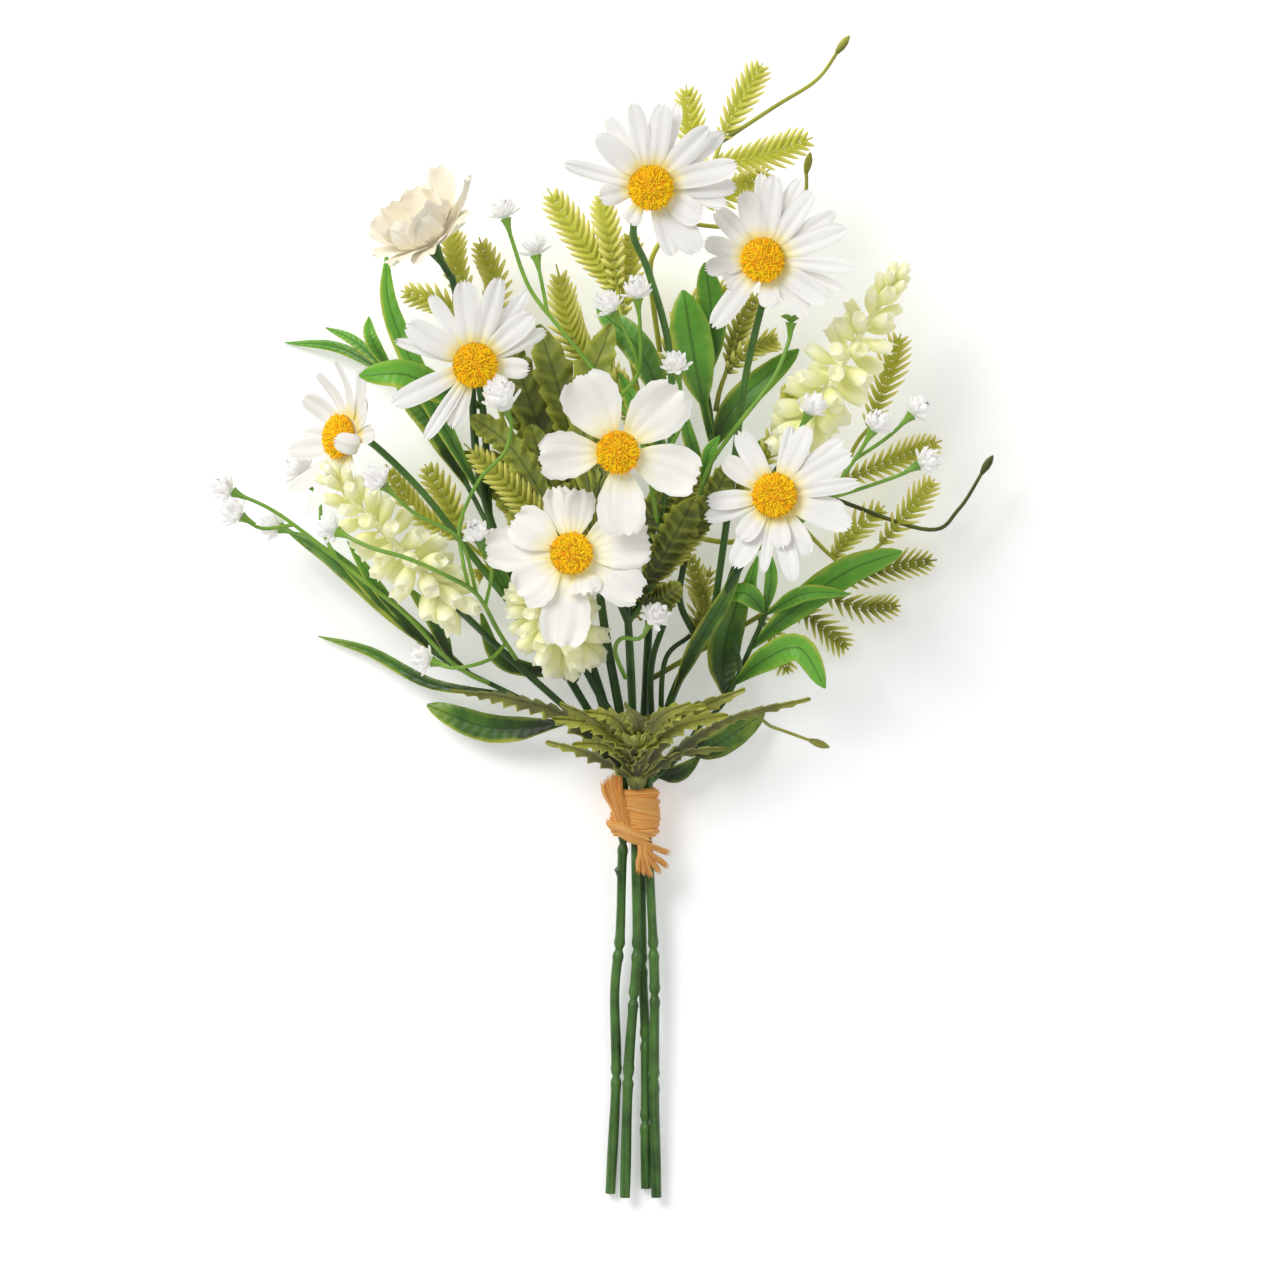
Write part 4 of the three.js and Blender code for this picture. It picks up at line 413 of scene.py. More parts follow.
TWIG_RIGHT = {"on": "right", "trunk": [
    (34.5, 80, 41), (46.5, 85.5, 43), (57, 94.5, 41), (66, 107, 42), (71, 115, 44.5),
], "sides": [
    [(66, 106, 41), (76, 113.5, 36), (83, 120, 36)],
    [(57, 94.5, 41), (67.5, 97.8, 38), (79.5, 102, 36), (85, 105, 36)],
    [(49, 87, 42.5), (47, 103.5, 49), (49.5, 116, 52), (51.5, 119.5, 53)],
], "heads": ["head_15", "head_16", "head_17", "head_14"]}
TWIG_UP = {"on": "top", "trunk": [
    (8.5, 88.5, 35), (1.5, 112.5, 46), (-10.5, 130.5, 48), (-22.5, 145.5, 47), (-31.5, 157.5, 46),
    (-36.9, 172.5, 46), (-38.5, 178, 46),
], "sides": [
    [(-26, 150, 46.5), (-28, 160, 47), (-29.5, 167, 46)],
    [(-6, 124, 47.5), (1, 132, 52), (-3, 144, 55), (-6.5, 149.5, 56)],
    [(-6, 124, 47.5), (1, 132, 52), (1.5, 145, 55), (0.8, 153.5, 57)],
    [(5, 100.5, 41.5), (13.5, 116, 47), (13.4, 128, 52), (12.5, 132, 54)],
], "heads": ["head_11", "head_12", "head_13", "head_18", "head_19"]}
TWIG_MID = {"on": "upright", "trunk": [
    (19, 92, 26.5), (22, 104, 37), (31, 117, 44), (41, 130, 47), (46, 142, 47), (46.5, 147, 47),
], "sides": [], "heads": []}

# Spikes of bells: base and tip of the axis, and the greatest reach of the solids' bells from it

BELLS_LEFT = {"base": (-54, 63, 40), "tip": (-90, 100.5, 52), "reach": 11}
BELLS_LOW = {"base": (-20, 52.5, 26), "tip": (-30, 66, 44), "reach": 14}
BELLS_RIGHT = {"base": (48, 112.5, 38), "tip": (78, 161, 42), "reach": 11}

# How much further the bells reach than the solids' bells
BELL_SPREAD = 1.14

# Raffia: wraps as [place along the stems, turn in degrees, extra thickness], and strands with their widths

RAFFIA_WRAPS = [
    (5.2, 5, 0.1), (2.9, -4, 0.4), (0.4, 5, 0.15), (-2, -7, 0.5), (-4.2, 8, 0.2), (-5.8, -2, 0),
    (1.4, -11, 0.65),
]
RAFFIA_LEFT_STRANDS = [
    ([(-1.4 - 0.7 * i, -5.4 + 0.2 * i, 15.4 - 0.5 * i), (-2.8 - 0.9 * i, 0.6, 16.2 - 0.4 * i + 0.5 * (i % 2)),
      (-4.2 - 1.1 * i, 6.4 - 0.3 * i, 16.2 - 0.3 * i), (-4.9 - 1.25 * i, 12.8 - 0.95 * i, 15.6)],
     1.3 + 0.5 * (i % 3))
    for i in range(5)
]
RAFFIA_KNOT = [
    ([(-7.6, -1.6, 11.6), (-6.6, -4, 14), (-3.4, -4.8, 16.6), (1, -7, 16.9), (4.4, -8.6, 15.2)], 3),
    ([(-6.6, -6, 11.6), (-3.6, -6.6, 15.2), (0.4, -8.6, 16.4), (3.4, -9.8, 15.4)], 2.4),
]
RAFFIA_LOWER_STRANDS = [
    ([(1.6, -7.4, 15.8), (0.4 * x + 1, 0.45 * y - 5, 15.6), (x, y, z)], 1.9)
    for x, y, z in ((10.4, -12, 13.4), (9.8, -16.6, 12.6), (7.4, -18.4, 12.4), (4.9, -19.4, 12.4),
                    (2.9, -18.6, 13.6), (1, -18.2, 13))
]
RAFFIA_STRANDS = RAFFIA_LEFT_STRANDS + RAFFIA_LOWER_STRANDS + RAFFIA_KNOT

# Places along the stems where their lengths join, as y in millimetres

JOINS = {
    "left": (-9.5, -42, -81),
    "front": (-42, -57, -81),
    "back": (-47, -70, -95),
    "right": (-42, -56, -82),
}

# How bright each leaf is, from 0 for dark olive to 1 for fresh green

LEAF_SHADES = {
    "left": (0.75, 0.2),
    "cream": (0.8,),
    "thin": (0.75, 0.9, 0.85, 0.2),
    "leaves": (0.3, 0.2, 0.35, 0.2, 0.15, 0.15),
    "top": (0.5, 0.6),
    "upright": (0.6, 0.55, 0.5, 0.9, 0.45, 0.5),
    "leavesRight": (0.95, 1.0, 0.9, 0.9, 0.25, 1.0, 0.05, 0.0),
}

# How bright each fern spray is and how full its leaflets are, and how bright its tendrils are

FERN_LOOKS = {
    "fern_top": (1.0, 1.2),
    "fern_upper_left": (0.78, 1.36),
    "fern_left": (0.78, 1.3),
    "fern_right_high": (0.8, 1),
    "fern_right_low": (0.28, 0.85),
    "fern_mid": (0.4, 1.2),
}
TENDRIL_SHADES = {"fern_top": 0.25, "fern_right_high": -0.25}

# Branches that show between the leaves, painted a fresher green, as if less shaded than the other stems above
# the tie

OPEN_BRANCHES = ("farLeft", "top", "upperRight")

# Outlines of round shapes and blades, as share of the length and radius or half width

CORE_OUTLINE = ((0, 0), (0, 0.8), (0.35, 0.95), (0.8, 1), (1, 0.9), (1, 0))
DISC_OUTLINE = ((0, 0), (0, 0.93), (0.12, 0.97), (0.35, 0.9), (0.6, 0.72), (0.8, 0.46), (0.9, 0.2), (0.93, 0))
CALYX_OUTLINE = ((0.25, 0.34), (0.55, 0.6), (0.8, 0.86), (1, 0.98), (1, 0))
NARROW_PETAL = (
    (0, 0.4), (0.15, 0.54), (0.35, 0.82), (0.55, 0.98), (0.72, 1), (0.86, 0.9), (0.95, 0.68), (1, 0.4),
)
BROAD_PETAL = (
    (0, 0.2), (0.2, 0.3), (0.4, 0.66), (0.58, 0.95), (0.75, 1.02), (0.88, 0.94), (0.96, 0.76), (1, 0.56),
)
LEAF = ((0, 0.1), (0.1, 0.35), (0.25, 0.8), (0.42, 1), (0.6, 0.92), (0.8, 0.6), (0.93, 0.26), (1, 0.02))
ROUND_LEAF = (
    (0, 0.12), (0.12, 0.4), (0.3, 0.84), (0.5, 1), (0.7, 0.94), (0.86, 0.7), (0.96, 0.36), (1, 0.06),
)
LONG_STALK_LEAF = ((0, 0.16), (0.28, 0.2), (0.4, 0.62), (0.58, 1), (0.78, 0.96), (0.92, 0.62), (1, 0.06))
PLAIN_BLADE = ((0, 0.35), (0.12, 0.62), (0.3, 0.95), (0.45, 1), (0.7, 0.8), (0.9, 0.4), (1, 0.06))
STALKED_BLADE = ((0, 0.22), (0.26, 0.3), (0.4, 0.72), (0.58, 1), (0.78, 0.92), (0.93, 0.56), (1, 0.1))
LEAFLET = ((0, 0.48), (0.2, 0.42), (0.45, 0.29), (0.8, 0.22), (1, 0.06))
FROND = ((0, 0.62), (0.3, 0.95), (0.6, 1), (0.85, 0.8), (1, 0.45))
FUNNEL_OUTLINE = ((0, 0), (0.35, 1.6), (0.7, 4.4), (0.95, 8.6))
HUB_OUTLINE = ((0, 0), (0.1, 0.5), (0.5, 1), (0.9, 0.5), (1, 0))
BUD_OUTLINE = ((0, 0), (0.2, 0.75), (0.45, 1.25), (0.7, 1.2), (0.9, 0.6), (1, 0))
CUP_OUTLINE = ((0, 0), (0.05, 0.6), (0.5, 0.95), (0.85, 1.45), (1, 1.9), (1, 0))
BELL_OUTLINE = (
    (0, 0.16), (0.08, 0.32), (0.22, 0.58), (0.42, 0.88), (0.62, 1), (0.8, 0.95), (0.93, 0.86), (1, 0.85),
)
BELL_HOLLOW = ((0.94, 0.6), (0.89, 0))
HEAD_OUTLINE = ((0, 0), (0, 0.45), (0.35, 0.74), (0.7, 0.7), (0.9, 0.42), (1, 0))
HEAD_PETAL = ((0, 0.5), (0.35, 0.86), (0.65, 1), (0.85, 0.72), (1, 0.14))

# Layers of a head: petals, lean from its axis in radians, and how far down they root

HEAD_LAYERS = ((8, 1.65, 0.85), (8, 1.25, 0.7), (7, 0.85, 0.5), (5, 0.4, 0.3))

# Measures of the blooms, bells, heads and leaves

LAYER_HEIGHTS = (-0.72, 0.12)
STEEP_LIFT = 60
PETAL_CUP = 0.12
PETAL_SWAY = 0.12
CREAM_CORE_RADIUS = 2.8
CREAM_FLORETS = 40
CREAM_FLORET = 0.6
DISC_SLOPE = math.radians(64)
SEPALS = 8
CALYX_TOP = 3.2
CREAM_CALYX_TOP = 2.6
SPIKE_SEAT = 0.7
BELL_ROOT = 0.6
BELL_HALF_WIDTH = 2.95
BELL_LENGTH = 11
HEAD_RADIUS = 2.5
HEAD_SPIKE = 4.6
BIG_HEAD = (4.7, 5.7)
FROND_FOOT = 0.05
FROND_LEAFY = 0.84
FUNNEL_LEAVES = 9
SAW_TEETH = 11
WHORL_TOOTH = 4.8

# Shade value of the dome under the florets, which the disc's material turns dark: painted shade in the gaps
# between the florets
GAP_SHADE = 0.95

# Steps along a route that its length and its nearest point are taken from, and its smallest step
LENGTH_STEPS = 40
SEARCH_STEPS = 120
NUDGE = 0.0001

# Full turn in radians, as far as the random phases need it
FULL_TURN = 6.28
GOLDEN_TURN = math.pi * (3 - math.sqrt(5))

# Direction that the seam of a rod is turned by
ROUND_FACING = Vector((0.3, 0.2, 1))

# Extra room at the foot of a stem that starts beside another
EXTRA_GAP = 0.1

# Distance in metres under which the points of a closed seam are merged
MERGE_DISTANCE = 2e-6

# Length of a rod, in millimetres, that its chart counts as one
CHART_UNIT = 10

# Points of a route that goes once round the stems
WRAP_STEPS = 20

# Stage, in metres and watts; each light has a place from the middle of the bunch, a size and a power

FLOOR_HALF = 3
FLOOR_HEIGHT = -0.0008
LIGHTS = (
    ("key_light", (-1.1, 1.1, 1.5), 1.1, 31),
    ("fill_light", (1.2, 0.1, 1.5), 1.8, 6),
    ("low_light", (0.0, -1.4, 1.1), 1.6, 4),
)
SKY_STRENGTH = 0.33
LENS = 150
SENSOR_WIDTH = 36
CAMERA_AIM = Vector((1.5, 52.5, 35))
CAMERA_HEIGHT = 1.6

# Small sums


def srgb(red, green, blue):
    """A screen colour from 0 to 255 as the linear colour that shaders read."""
    shares = [channel / 255 for channel in (red, green, blue)]
    return tuple(s / 12.92 if s <= 0.04045 else ((s + 0.055) / 1.055) ** 2.4 for s in shares) + (1.0,)


def between(low, high, share):
    return low + (high - low) * share


def ramp(share, table):
    """The value at a share, by straight lines between the table's pairs."""
    for (start, low), (end, high) in zip(table, table[1:]):
        if share <= end:
            return between(low, high, (share - start) / (end - start)) if end > start else high
    return table[-1][1]


def ease(low, high, value):
    """A smooth rise from 0 at low to 1 at high."""
    share = min(max((value - low) / (high - low), 0), 1)
    return share * share * (3 - 2 * share)


# Routes


class Route:
    """A smooth curve through places in millimetres."""

    def __init__(self, places):
        self.places = [Vector(place) for place in places]

    def point(self, share):
        places = self.places
        last = len(places) - 1
        reach = min(max(share, 0), 1) * last
        step = min(int(reach), last - 1)
        t = reach - step
        b, c = places[step], places[step + 1]
        a = places[step - 1] if step else 2 * b - c
        d = places[step + 2] if step + 2 <= last else 2 * c - b
        m, n = (c - a) / 2, (d - b) / 2
        return b + m * t + (3 * (c - b) - 2 * m - n) * t * t + (2 * (b - c) + m + n) * t * t * t

    def tangent(self, share):
        near = min(max(share, NUDGE), 1 - NUDGE)
        return (self.point(near + NUDGE) - self.point(near - NUDGE)).normalized()

    def length(self):
        spots = [self.point(i / LENGTH_STEPS) for i in range(LENGTH_STEPS + 1)]
        return sum((b - a).length for a, b in zip(spots, spots[1:]))

    def nearest(self, place):
        """The share whose point lies nearest to a place, short of the end."""
        shares = (i / SEARCH_STEPS for i in range(SEARCH_STEPS - 3))
        return min(shares, key=lambda share: (self.point(share) - place).length)


def branch_of(parent, places):
    """A route that starts on the middle line of the route that carries it."""
    route = Route(places)
    route.places[0] = parent.point(parent.nearest(route.places[0]))
    return route


def beside(parent, parent_radius, own_radius, places):
    """A route that starts just clear of the surface of the stem that carries it."""
    route = Route(places)
    share = parent.nearest(route.places[0])
    foot, along = parent.point(share), parent.tangent(share)
    leave = (route.places[1] - foot).normalized()
    away = (leave - along * leave.dot(along)).normalized()
    reach = parent_radius + GAP + own_radius * abs(leave.dot(along)) + EXTRA_GAP
    route.places[0] = foot + away * reach
    return route


def frame_at(route, share, facing):
    """The place, and the along, out and across directions there."""
    along = route.tangent(share)
    out = (facing - along * facing.dot(along)).normalized()
    return route.point(share), along, out, out.cross(along)


def ring_way(side, up, angle):
    """The direction at an angle round an axis."""
    return side * math.cos(angle) + up * math.sin(angle)


def directions_round(along):
    """The side and up directions across an axis."""
    side = UP.cross(along).normalized()
    return side, along.cross(side)


# Shells


class Shells:
    """The closed shells of one piece, with a chart over each and a shade for each."""

    def __init__(self):
        self.bm = bmesh.new()
        self.chart = self.bm.loops.layers.uv.new("chart")
        self.shade = self.bm.faces.layers.float.new("shade")

    def finish_faces(self, verts, charts, shade):
        for face in {face for vert in verts for face in vert.link_faces}:
            face.smooth = True
            face[self.shade] = shade
            for loop in face.loops:
                loop[self.chart].uv = charts[loop.vert]

    def loft(self, route, shares, columns, spot, facing=UP, rolls=False, shade=0.5):
        """A rolled-up grid whose rows follow the route; spot gives across, out, along and the chart."""
        frames = []
        for share in shares:
            frames.append(frame_at(route, share, facing(share) if callable(facing) else facing))
            if rolls:
                facing = frames[-1][2]
        rows = len(shares) - 1
        verts = bmesh.ops.create_grid(self.bm, x_segments=columns, y_segments=rows, size=1.0)["verts"]
        charts = {}
        for vert in verts:
            row = round((vert.co.y + 1) / 2 * rows)
            across, out, forward, charts[vert] = spot((vert.co.x + 1) / 2, row)
            at, along, lift, side = frames[row]
            vert.co = (at + side * across + lift * out + along * forward + SHIFT) * MM
        self.finish_faces(verts, charts, shade)
        bmesh.ops.remove_doubles(self.bm, verts=verts, dist=MERGE_DISTANCE)

    def tube(self, route, shares, radii, marks, columns, shade, facing, teeth=None):
        """A round shell with a radius and a mark along its chart for each share."""

        def spot(u, row):
            angle = math.tau * u
            forward = teeth(u, row) if teeth else 0
            return -math.cos(angle) * radii[row], math.sin(angle) * radii[row], forward, (u, marks[row])

        self.loft(route, shares, columns, spot, facing, True, shade)

    def rod(self, route, start, end, columns=8, step=3.0, swell=None, shade=0.5):
        """A round rod with cut ends."""
        length = route.length()
        rows = max(3, round(length / step))
        shares = [0] + [i / rows for i in range(rows + 1)] + [1]
        radii = [between(start, end, share) * (swell(route.point(share)) if swell else 1) for share in shares]
        radii[0] = radii[-1] = 0
        marks = [share * length / CHART_UNIT for share in shares]
        self.tube(route, shares, radii, marks, columns, shade, ROUND_FACING)

    def spindle(self, route, stations, columns, shade=0.5, facing=ROUND_FACING, teeth=None):
        """A round shell along a route, through stations of share and radius."""
        shares, radii = zip(*stations)
        marks = [row / (len(stations) - 1) for row in range(len(stations))]
        self.tube(route, shares, radii, marks, columns, shade, facing, teeth)

    def blade(self, route, half, thick, rows, columns, shape=None, facing=UP, shade=0.5, chart=None):
        """A thin closed blade; half gives its half width at a share, and shape moves a spot of it."""

        def spot(u, row):
            share = row / rows
            side = 1 if u <= 0.5 else -1
            x = side * (4 * u - 2) + 1
            body = 0 if row in (0, rows) else thick * math.sqrt(max(0, 1 - x * x))
            across, lift, forward = shape(x, share) if shape else (0, 0, 0)
            where = chart(x, share) if chart else ((x + 1) / 2, share)
            return x * half(share) + across, lift + side * body, forward, where

        self.loft(route, [i / rows for i in range(rows + 1)], 4 * columns, spot, facing, False, shade)


def place_piece(name, shells, material, nodes, crease=50):
    """Turns the shells into a piece that stands for its nodes."""
    bmesh.ops.recalc_face_normals(shells.bm, faces=shells.bm.faces)
    mesh = bpy.data.meshes.new(name)
    shells.bm.to_mesh(mesh)
    shells.bm.free()
    mesh.set_sharp_from_angle(angle=math.radians(crease))
    mesh.materials.append(material)
    piece = bpy.data.objects.new(name, mesh)
    bpy.context.scene.collection.objects.link(piece)
    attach(piece, "root")
    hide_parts(*nodes)


# Blooms


def bloom_axes(bloom):
    """The turn that brings up to the way a bloom faces, and the place of the bloom."""
    face = Vector(bloom["face"]).normalized()
    right = (RIGHT - face * face.x).normalized()
    return Matrix((right, face.cross(right), face)).transposed(), Vector(bloom["at"])


def under(bloom, depth):
    return Vector(bloom["at"]) - Vector(bloom["face"]).normalized() * depth


def calyx_length(bloom):
    return CREAM_CALYX_LENGTH if bloom is CREAM_BLOOM else CALYX_LENGTH


def towards_bloom(places, bloom):
    """A stem's places, and two more that bring it straight into the calyx."""
    start = CORE_BELOW + GAP
    return [*places, under(bloom, start + calyx_length(bloom) + 2), under(bloom, start + 1)]


def behind(spike):
    """The place just short of the stalk of a spike, where its branch ends."""
    base, tip = Vector(spike["base"]), Vector(spike["tip"])
    return base - (tip - base).normalized() * (GAP + SPIKE_SEAT)


def petal_route(bloom, row, root, bend):
    """The middle line of a petal, and the direction that its face looks in."""
    degrees, length, _, lift, layer = row
    turn, at = bloom_axes(bloom)
    direction = math.radians(degrees)
    height = LAYER_HEIGHTS[layer]
    line = [(root, height)]
    for share in (0, 0.45, 1):
        angle = math.radians(lift * (0.55 + 0.45 * share))
        run = (length - bend) * share
        line.append((bend + run * math.cos(angle), height + run * math.sin(angle)))
    places = [at + turn @ Vector((r * math.cos(direction), r * math.sin(direction), z)) for r, z in line]
    inwards = Vector((-math.cos(direction), -math.sin(direction), 0))
    return Route(places), turn @ (inwards if lift > STEEP_LIFT else UP)


def add_dome(shells, bloom, low, high, radius, outline, columns, shade):
    """A round shell that stands on a bloom's axis between two heights."""
    turn, at = bloom_axes(bloom)
    route = Route([at + turn @ UP * low, at + turn @ UP * high])
    shells.spindle(route, [(share, radius * wide) for share, wide in outline], columns, shade, turn @ RIGHT)


def add_petal(shells, bloom, row, dice, outline, root, bend, grooves, creases, notch, wave, rows=16,
              columns=6, fringe=0, ruffle=0):
    """One petal with grooves along it, a notched or fringed tip and a little wave."""
    route, facing = petal_route(bloom, row, root, bend)
    half_width = row[2]
    phase, sway, teeth = dice.uniform(0, FULL_TURN), dice.uniform(-1, 1), dice.choice((2, 3, 3))

    def shape(x, share):
        cup = PETAL_CUP * half_width * x * x * ease(0.1, 0.5, share)
        ridge = abs(math.sin(math.pi / 2 * (creases * x + 0.5 * sway)))
        groove = grooves * ridge * ease(0.12, 0.45, share) * (1 - 0.45 * share)
        swing = math.sin(5 * share + phase) * 0.6 + x * math.sin(4 * share + phase) * 0.9
        frill = ruffle * math.sin(5.5 * x + phase) * ease(0.45, 1, share)
        lift = cup + groove + wave * swing * ease(0.3, 0.9, share) + frill
        end = ease(0.82, 1, share)
        notches = 0.5 - 0.5 * math.cos(math.pi * teeth * (x + 1) + 0.6 * sway)
        forward = -notch * end * (notches + 0.5 * x * x)
        forward -= fringe * end * (0.5 + 0.5 * math.sin(23 * x + 5 * phase))
        return PETAL_SWAY * half_width * sway * math.sin(3 * share) * ease(0.4, 1, share), lift, forward

    def half(share):
        nibbled = 0.35 * fringe * math.sin(41 * share + phase) * ease(0.4, 0.7, share)
        return half_width * ramp(share, outline) + nibbled

    shells.blade(route, half, sizes().petal_thickness / MM, rows, columns, shape, facing, dice.uniform(0, 1))


def make_ring(name, bloom, petals, core_radius, material, dice, looks):
    """The short round core of a bloom and the petals that grow from it."""
    shells = Shells()
    add_dome(shells, bloom, -CORE_BELOW, CORE_ABOVE, core_radius, CORE_OUTLINE, 18, 0.5)
    for row in petals:
        add_petal(shells, bloom, row, dice, **looks)
    place_piece(f"{name}_ring", shells, material, [f"{name}_petals"])


def make_disc(name, bloom, size, count, floret, material, dice):
    """A low dome covered in short stubby florets, in the turns of a seed head."""
    shells = Shells()
    radius, height = size
    turn, at = bloom_axes(bloom)
    base = CORE_ABOVE + GAP + 0.15
    add_dome(shells, bloom, base, base + height, radius, DISC_OUTLINE, 20, GAP_SHADE)
    for i in range(count):
        reach = math.sqrt((i + 0.5) / count)
        slope = reach * DISC_SLOPE
        angle = i * GOLDEN_TURN + dice.uniform(-0.15, 0.15)
        way = Vector((math.cos(angle), math.sin(angle), 0))
        out = way * math.sin(slope) + UP * math.cos(slope)
        rise = base + 0.86 * height * math.sqrt(1 - 0.86 * reach * reach)
        spot = way * 0.9 * radius * reach + UP * rise
        lean = (turn @ (out + Vector([dice.uniform(-0.5, 0.5) for _ in range(3)]))).normalized()
        long = floret * dice.uniform(1.8, 3.2)
        centre = (at + turn @ spot + lean * long * 0.22 + SHIFT) * MM
        matrix = Matrix.Translation(centre) @ lean.to_track_quat("Z", "Y").to_matrix().to_4x4()
        verts = bmesh.ops.create_cone(
            shells.bm, cap_ends=True, segments=5, radius1=0.42 * floret * MM, radius2=0.2 * floret * MM,
            depth=long * MM, matrix=matrix)["verts"]
        shells.finish_faces(verts, dict.fromkeys(verts, (dice.random(), reach)), dice.random())
    place_piece(f"{name}_florets", shells, material, [f"{name}_centre"], 40)


def add_calyx(shells, bloom):
    """A flared green cup under a bloom, with its rim cut into sepals."""
    start = CORE_BELOW + GAP
    top = CREAM_CALYX_TOP if bloom is CREAM_BLOOM else CALYX_TOP
    route = Route([under(bloom, start + calyx_length(bloom)), under(bloom, start)])
    stations = [(0, 0.8)] + [(share, wide * top) for share, wide in CALYX_OUTLINE]
    rim = len(stations) - 2
    shells.spindle(route, stations, 14, 0.5, Vector((0, 1, 0.3)),
                   lambda u, row: 0.35 * math.cos(math.tau * SEPALS * u) - 0.35 if row == rim else 0)


# Foliage


def add_leaf(shells, route, half_width, dice, shade):
    """A smooth pointed leaf, folded along its midrib."""
    phase = dice.uniform(0, FULL_TURN)
    outline = LONG_STALK_LEAF if half_width > 5.4 else ROUND_LEAF if half_width > 4.1 else LEAF

    def shape(x, share):
        fold = 0.2 * half_width * (abs(x) - 0.35) * ease(0, 0.3, share) * (1 - ease(0.75, 1, share))
        return 0, fold + 0.1 * half_width * math.sin(7 * share + phase) * x, 0

    shells.blade(route, lambda share: half_width * ramp(share, outline) + 0.12, 0.42, 18, 4, shape, UP, shade)


def add_saw_leaf(shells, route, half_width, teeth, dice, shade, outline, fold=0.16, depth=0.2, pleats=0.2,
                 facing=UP):
    """A leaf with forward-pointing teeth and raised pleats between its side veins."""
    phase = dice.uniform(0, FULL_TURN)

    def half(share):
        saw = (share * teeth) % 1
        uneven = 1 + 0.14 * math.sin(11 * share + phase)
        return half_width * ramp(share, outline) * uneven * (1 - depth + 1.5 * depth * saw) + 0.15

    def shape(x, share):
        full = ramp(share, outline)
        pleat = pleats * half_width * math.sin(math.tau * (share * teeth - 0.55 * abs(x)))
        lift = fold * half_width * (abs(x) - 0.3) + pleat * ease(0.05, 0.5, abs(x)) * full
        lift += 0.12 * half_width * math.sin(5 * share + phase) * x
        return 0, lift, 0.35 * half_width * x * x * (1 - share) * full

    shells.blade(route, half, 0.32, 5 * teeth, 4, shape, facing, shade)


def add_frond(shells, route, half_width, dice, shade, spacing, full):
    """A rib with finger-like leaflets on both sides that point forward, more so near its tip."""
    shells.rod(route, 0.5, 0.26, 5, 4.0, None, 0.7 * shade)
    length = route.length()
    pairs = max(8, round(FROND_LEAFY * length / spacing))
    wide = FROND_LEAFY * length / pairs
    for i in range(pairs):
        part = i / (pairs - 1)
        share = FROND_FOOT + FROND_LEAFY * part
        at, along, out, across = frame_at(route, share, UP)
        for side in (-1, 1):
            reach = half_width * ramp(part, FROND) * dice.uniform(0.9, 1.06)
            lean = min((0.8 + 0.55 * part) * reach, 0.98 * length * (1 - share))
            rise = 0.16 * reach * dice.uniform(0, 1)
            mid = at + across * side * 0.52 * reach + along * 0.47 * lean + out * rise
            tip = at + across * side * reach + along * lean - out * 0.12 * reach
            shells.blade(
                Route([at, mid, tip]), lambda s: full * wide * ramp(s, LEAFLET), 0.22, 6, 1,
                lambda x, s: (0, 0.4 * wide * (0.5 - abs(x)) * (1 - 0.5 * s), 0), out, shade,
                lambda x, s, v=share: (s, v))
    end = Route([route.point(share) for share in (0.9, 0.95, 1)])
    shells.blade(end, lambda s: 0.5 * (1 - s) + 0.12, 0.22, 3, 1, None, UP, shade,
                 lambda x, s: (0.5 + 0.5 * s, 0.95))


def add_funnel(shells, hub, dice):
    """The folded feet of the leaves, which stand in a funnel before they spread."""
    axis = Vector((-0.1, 1, 0.42)).normalized()
    side = axis.cross(UP).normalized()
    up = side.cross(axis)
    for i in range(FUNNEL_LEAVES):
        outwards = ring_way(side, up, math.tau * i / FUNNEL_LEAVES + dice.uniform(-0.2, 0.2))
        long = dice.uniform(14, 19)
        places = [hub + axis * (0.1 + share) * long + outwards * (1 + out) for share, out in FUNNEL_OUTLINE]
        add_saw_leaf(shells, Route(places), 4.6, 5, dice, dice.uniform(0, 0.4), PLAIN_BLADE, -0.35, 0.14, 0.1,
                     outwards)


def add_tendril(shells, route, start_radius, end_radius, shade, bud_shade):
    """A thin curling rod with a bud on its end."""
    shells.rod(route, start_radius, end_radius, 7, 2.5, None, shade)
    along = route.tangent(1)
    start = route.point(1) - along * 3
    shells.spindle(Route([start, start + along * 8]), BUD_OUTLINE, 8, bud_shade)


# Spikes of bells and small spiky heads


def add_bells(shells, spike, count, dice):
    """A stalk crowded with hanging bells that get smaller towards its tip."""
    axis = Route([spike["base"], spike["tip"]])
    reach = BELL_SPREAD * spike["reach"] - BELL_ROOT
    along = axis.tangent(0.5)
    side, up = directions_round(along)
    shells.rod(axis, 1.5, 0.8, 8, 4.0)
    mouth = len(BELL_OUTLINE)
    for i in range(count):
        share = i / (count - 1)
        size = between(1, 0.5, share * share)
        lean = math.radians(between(-56, 74, share) + dice.uniform(-9, 9))
        round_way = ring_way(side, up, i * GOLDEN_TURN + dice.uniform(-0.2, 0.2))
        out = round_way * math.cos(lean) + along * math.sin(lean)
        root = axis.point(0.06 + 0.91 * share) + round_way * BELL_ROOT
        full = reach * between(1, 0.66, share * share) * dice.uniform(0.88, 1)
        droop = -along * 0.06 * full * (1 - share)
        line = Route([root, root + out * 0.5 * full + droop, root + out * full])
        wide = BELL_HALF_WIDTH * size * dice.uniform(0.88, 1.1)
        neck = max(0.02, 1 - BELL_LENGTH * size / full)
        stations = [(0, 0.35)] + [(between(neck, 1, long), thick * wide) for long, thick in BELL_OUTLINE]
        stations += [(long, thick * wide) for long, thick in BELL_HOLLOW]

        def teeth(u, row, size=size):
            return 0.75 * size * math.cos(3 * math.tau * u) if row in (mouth, mouth + 1) else 0

        shells.spindle(line, stations, 12, dice.random(), along, teeth)


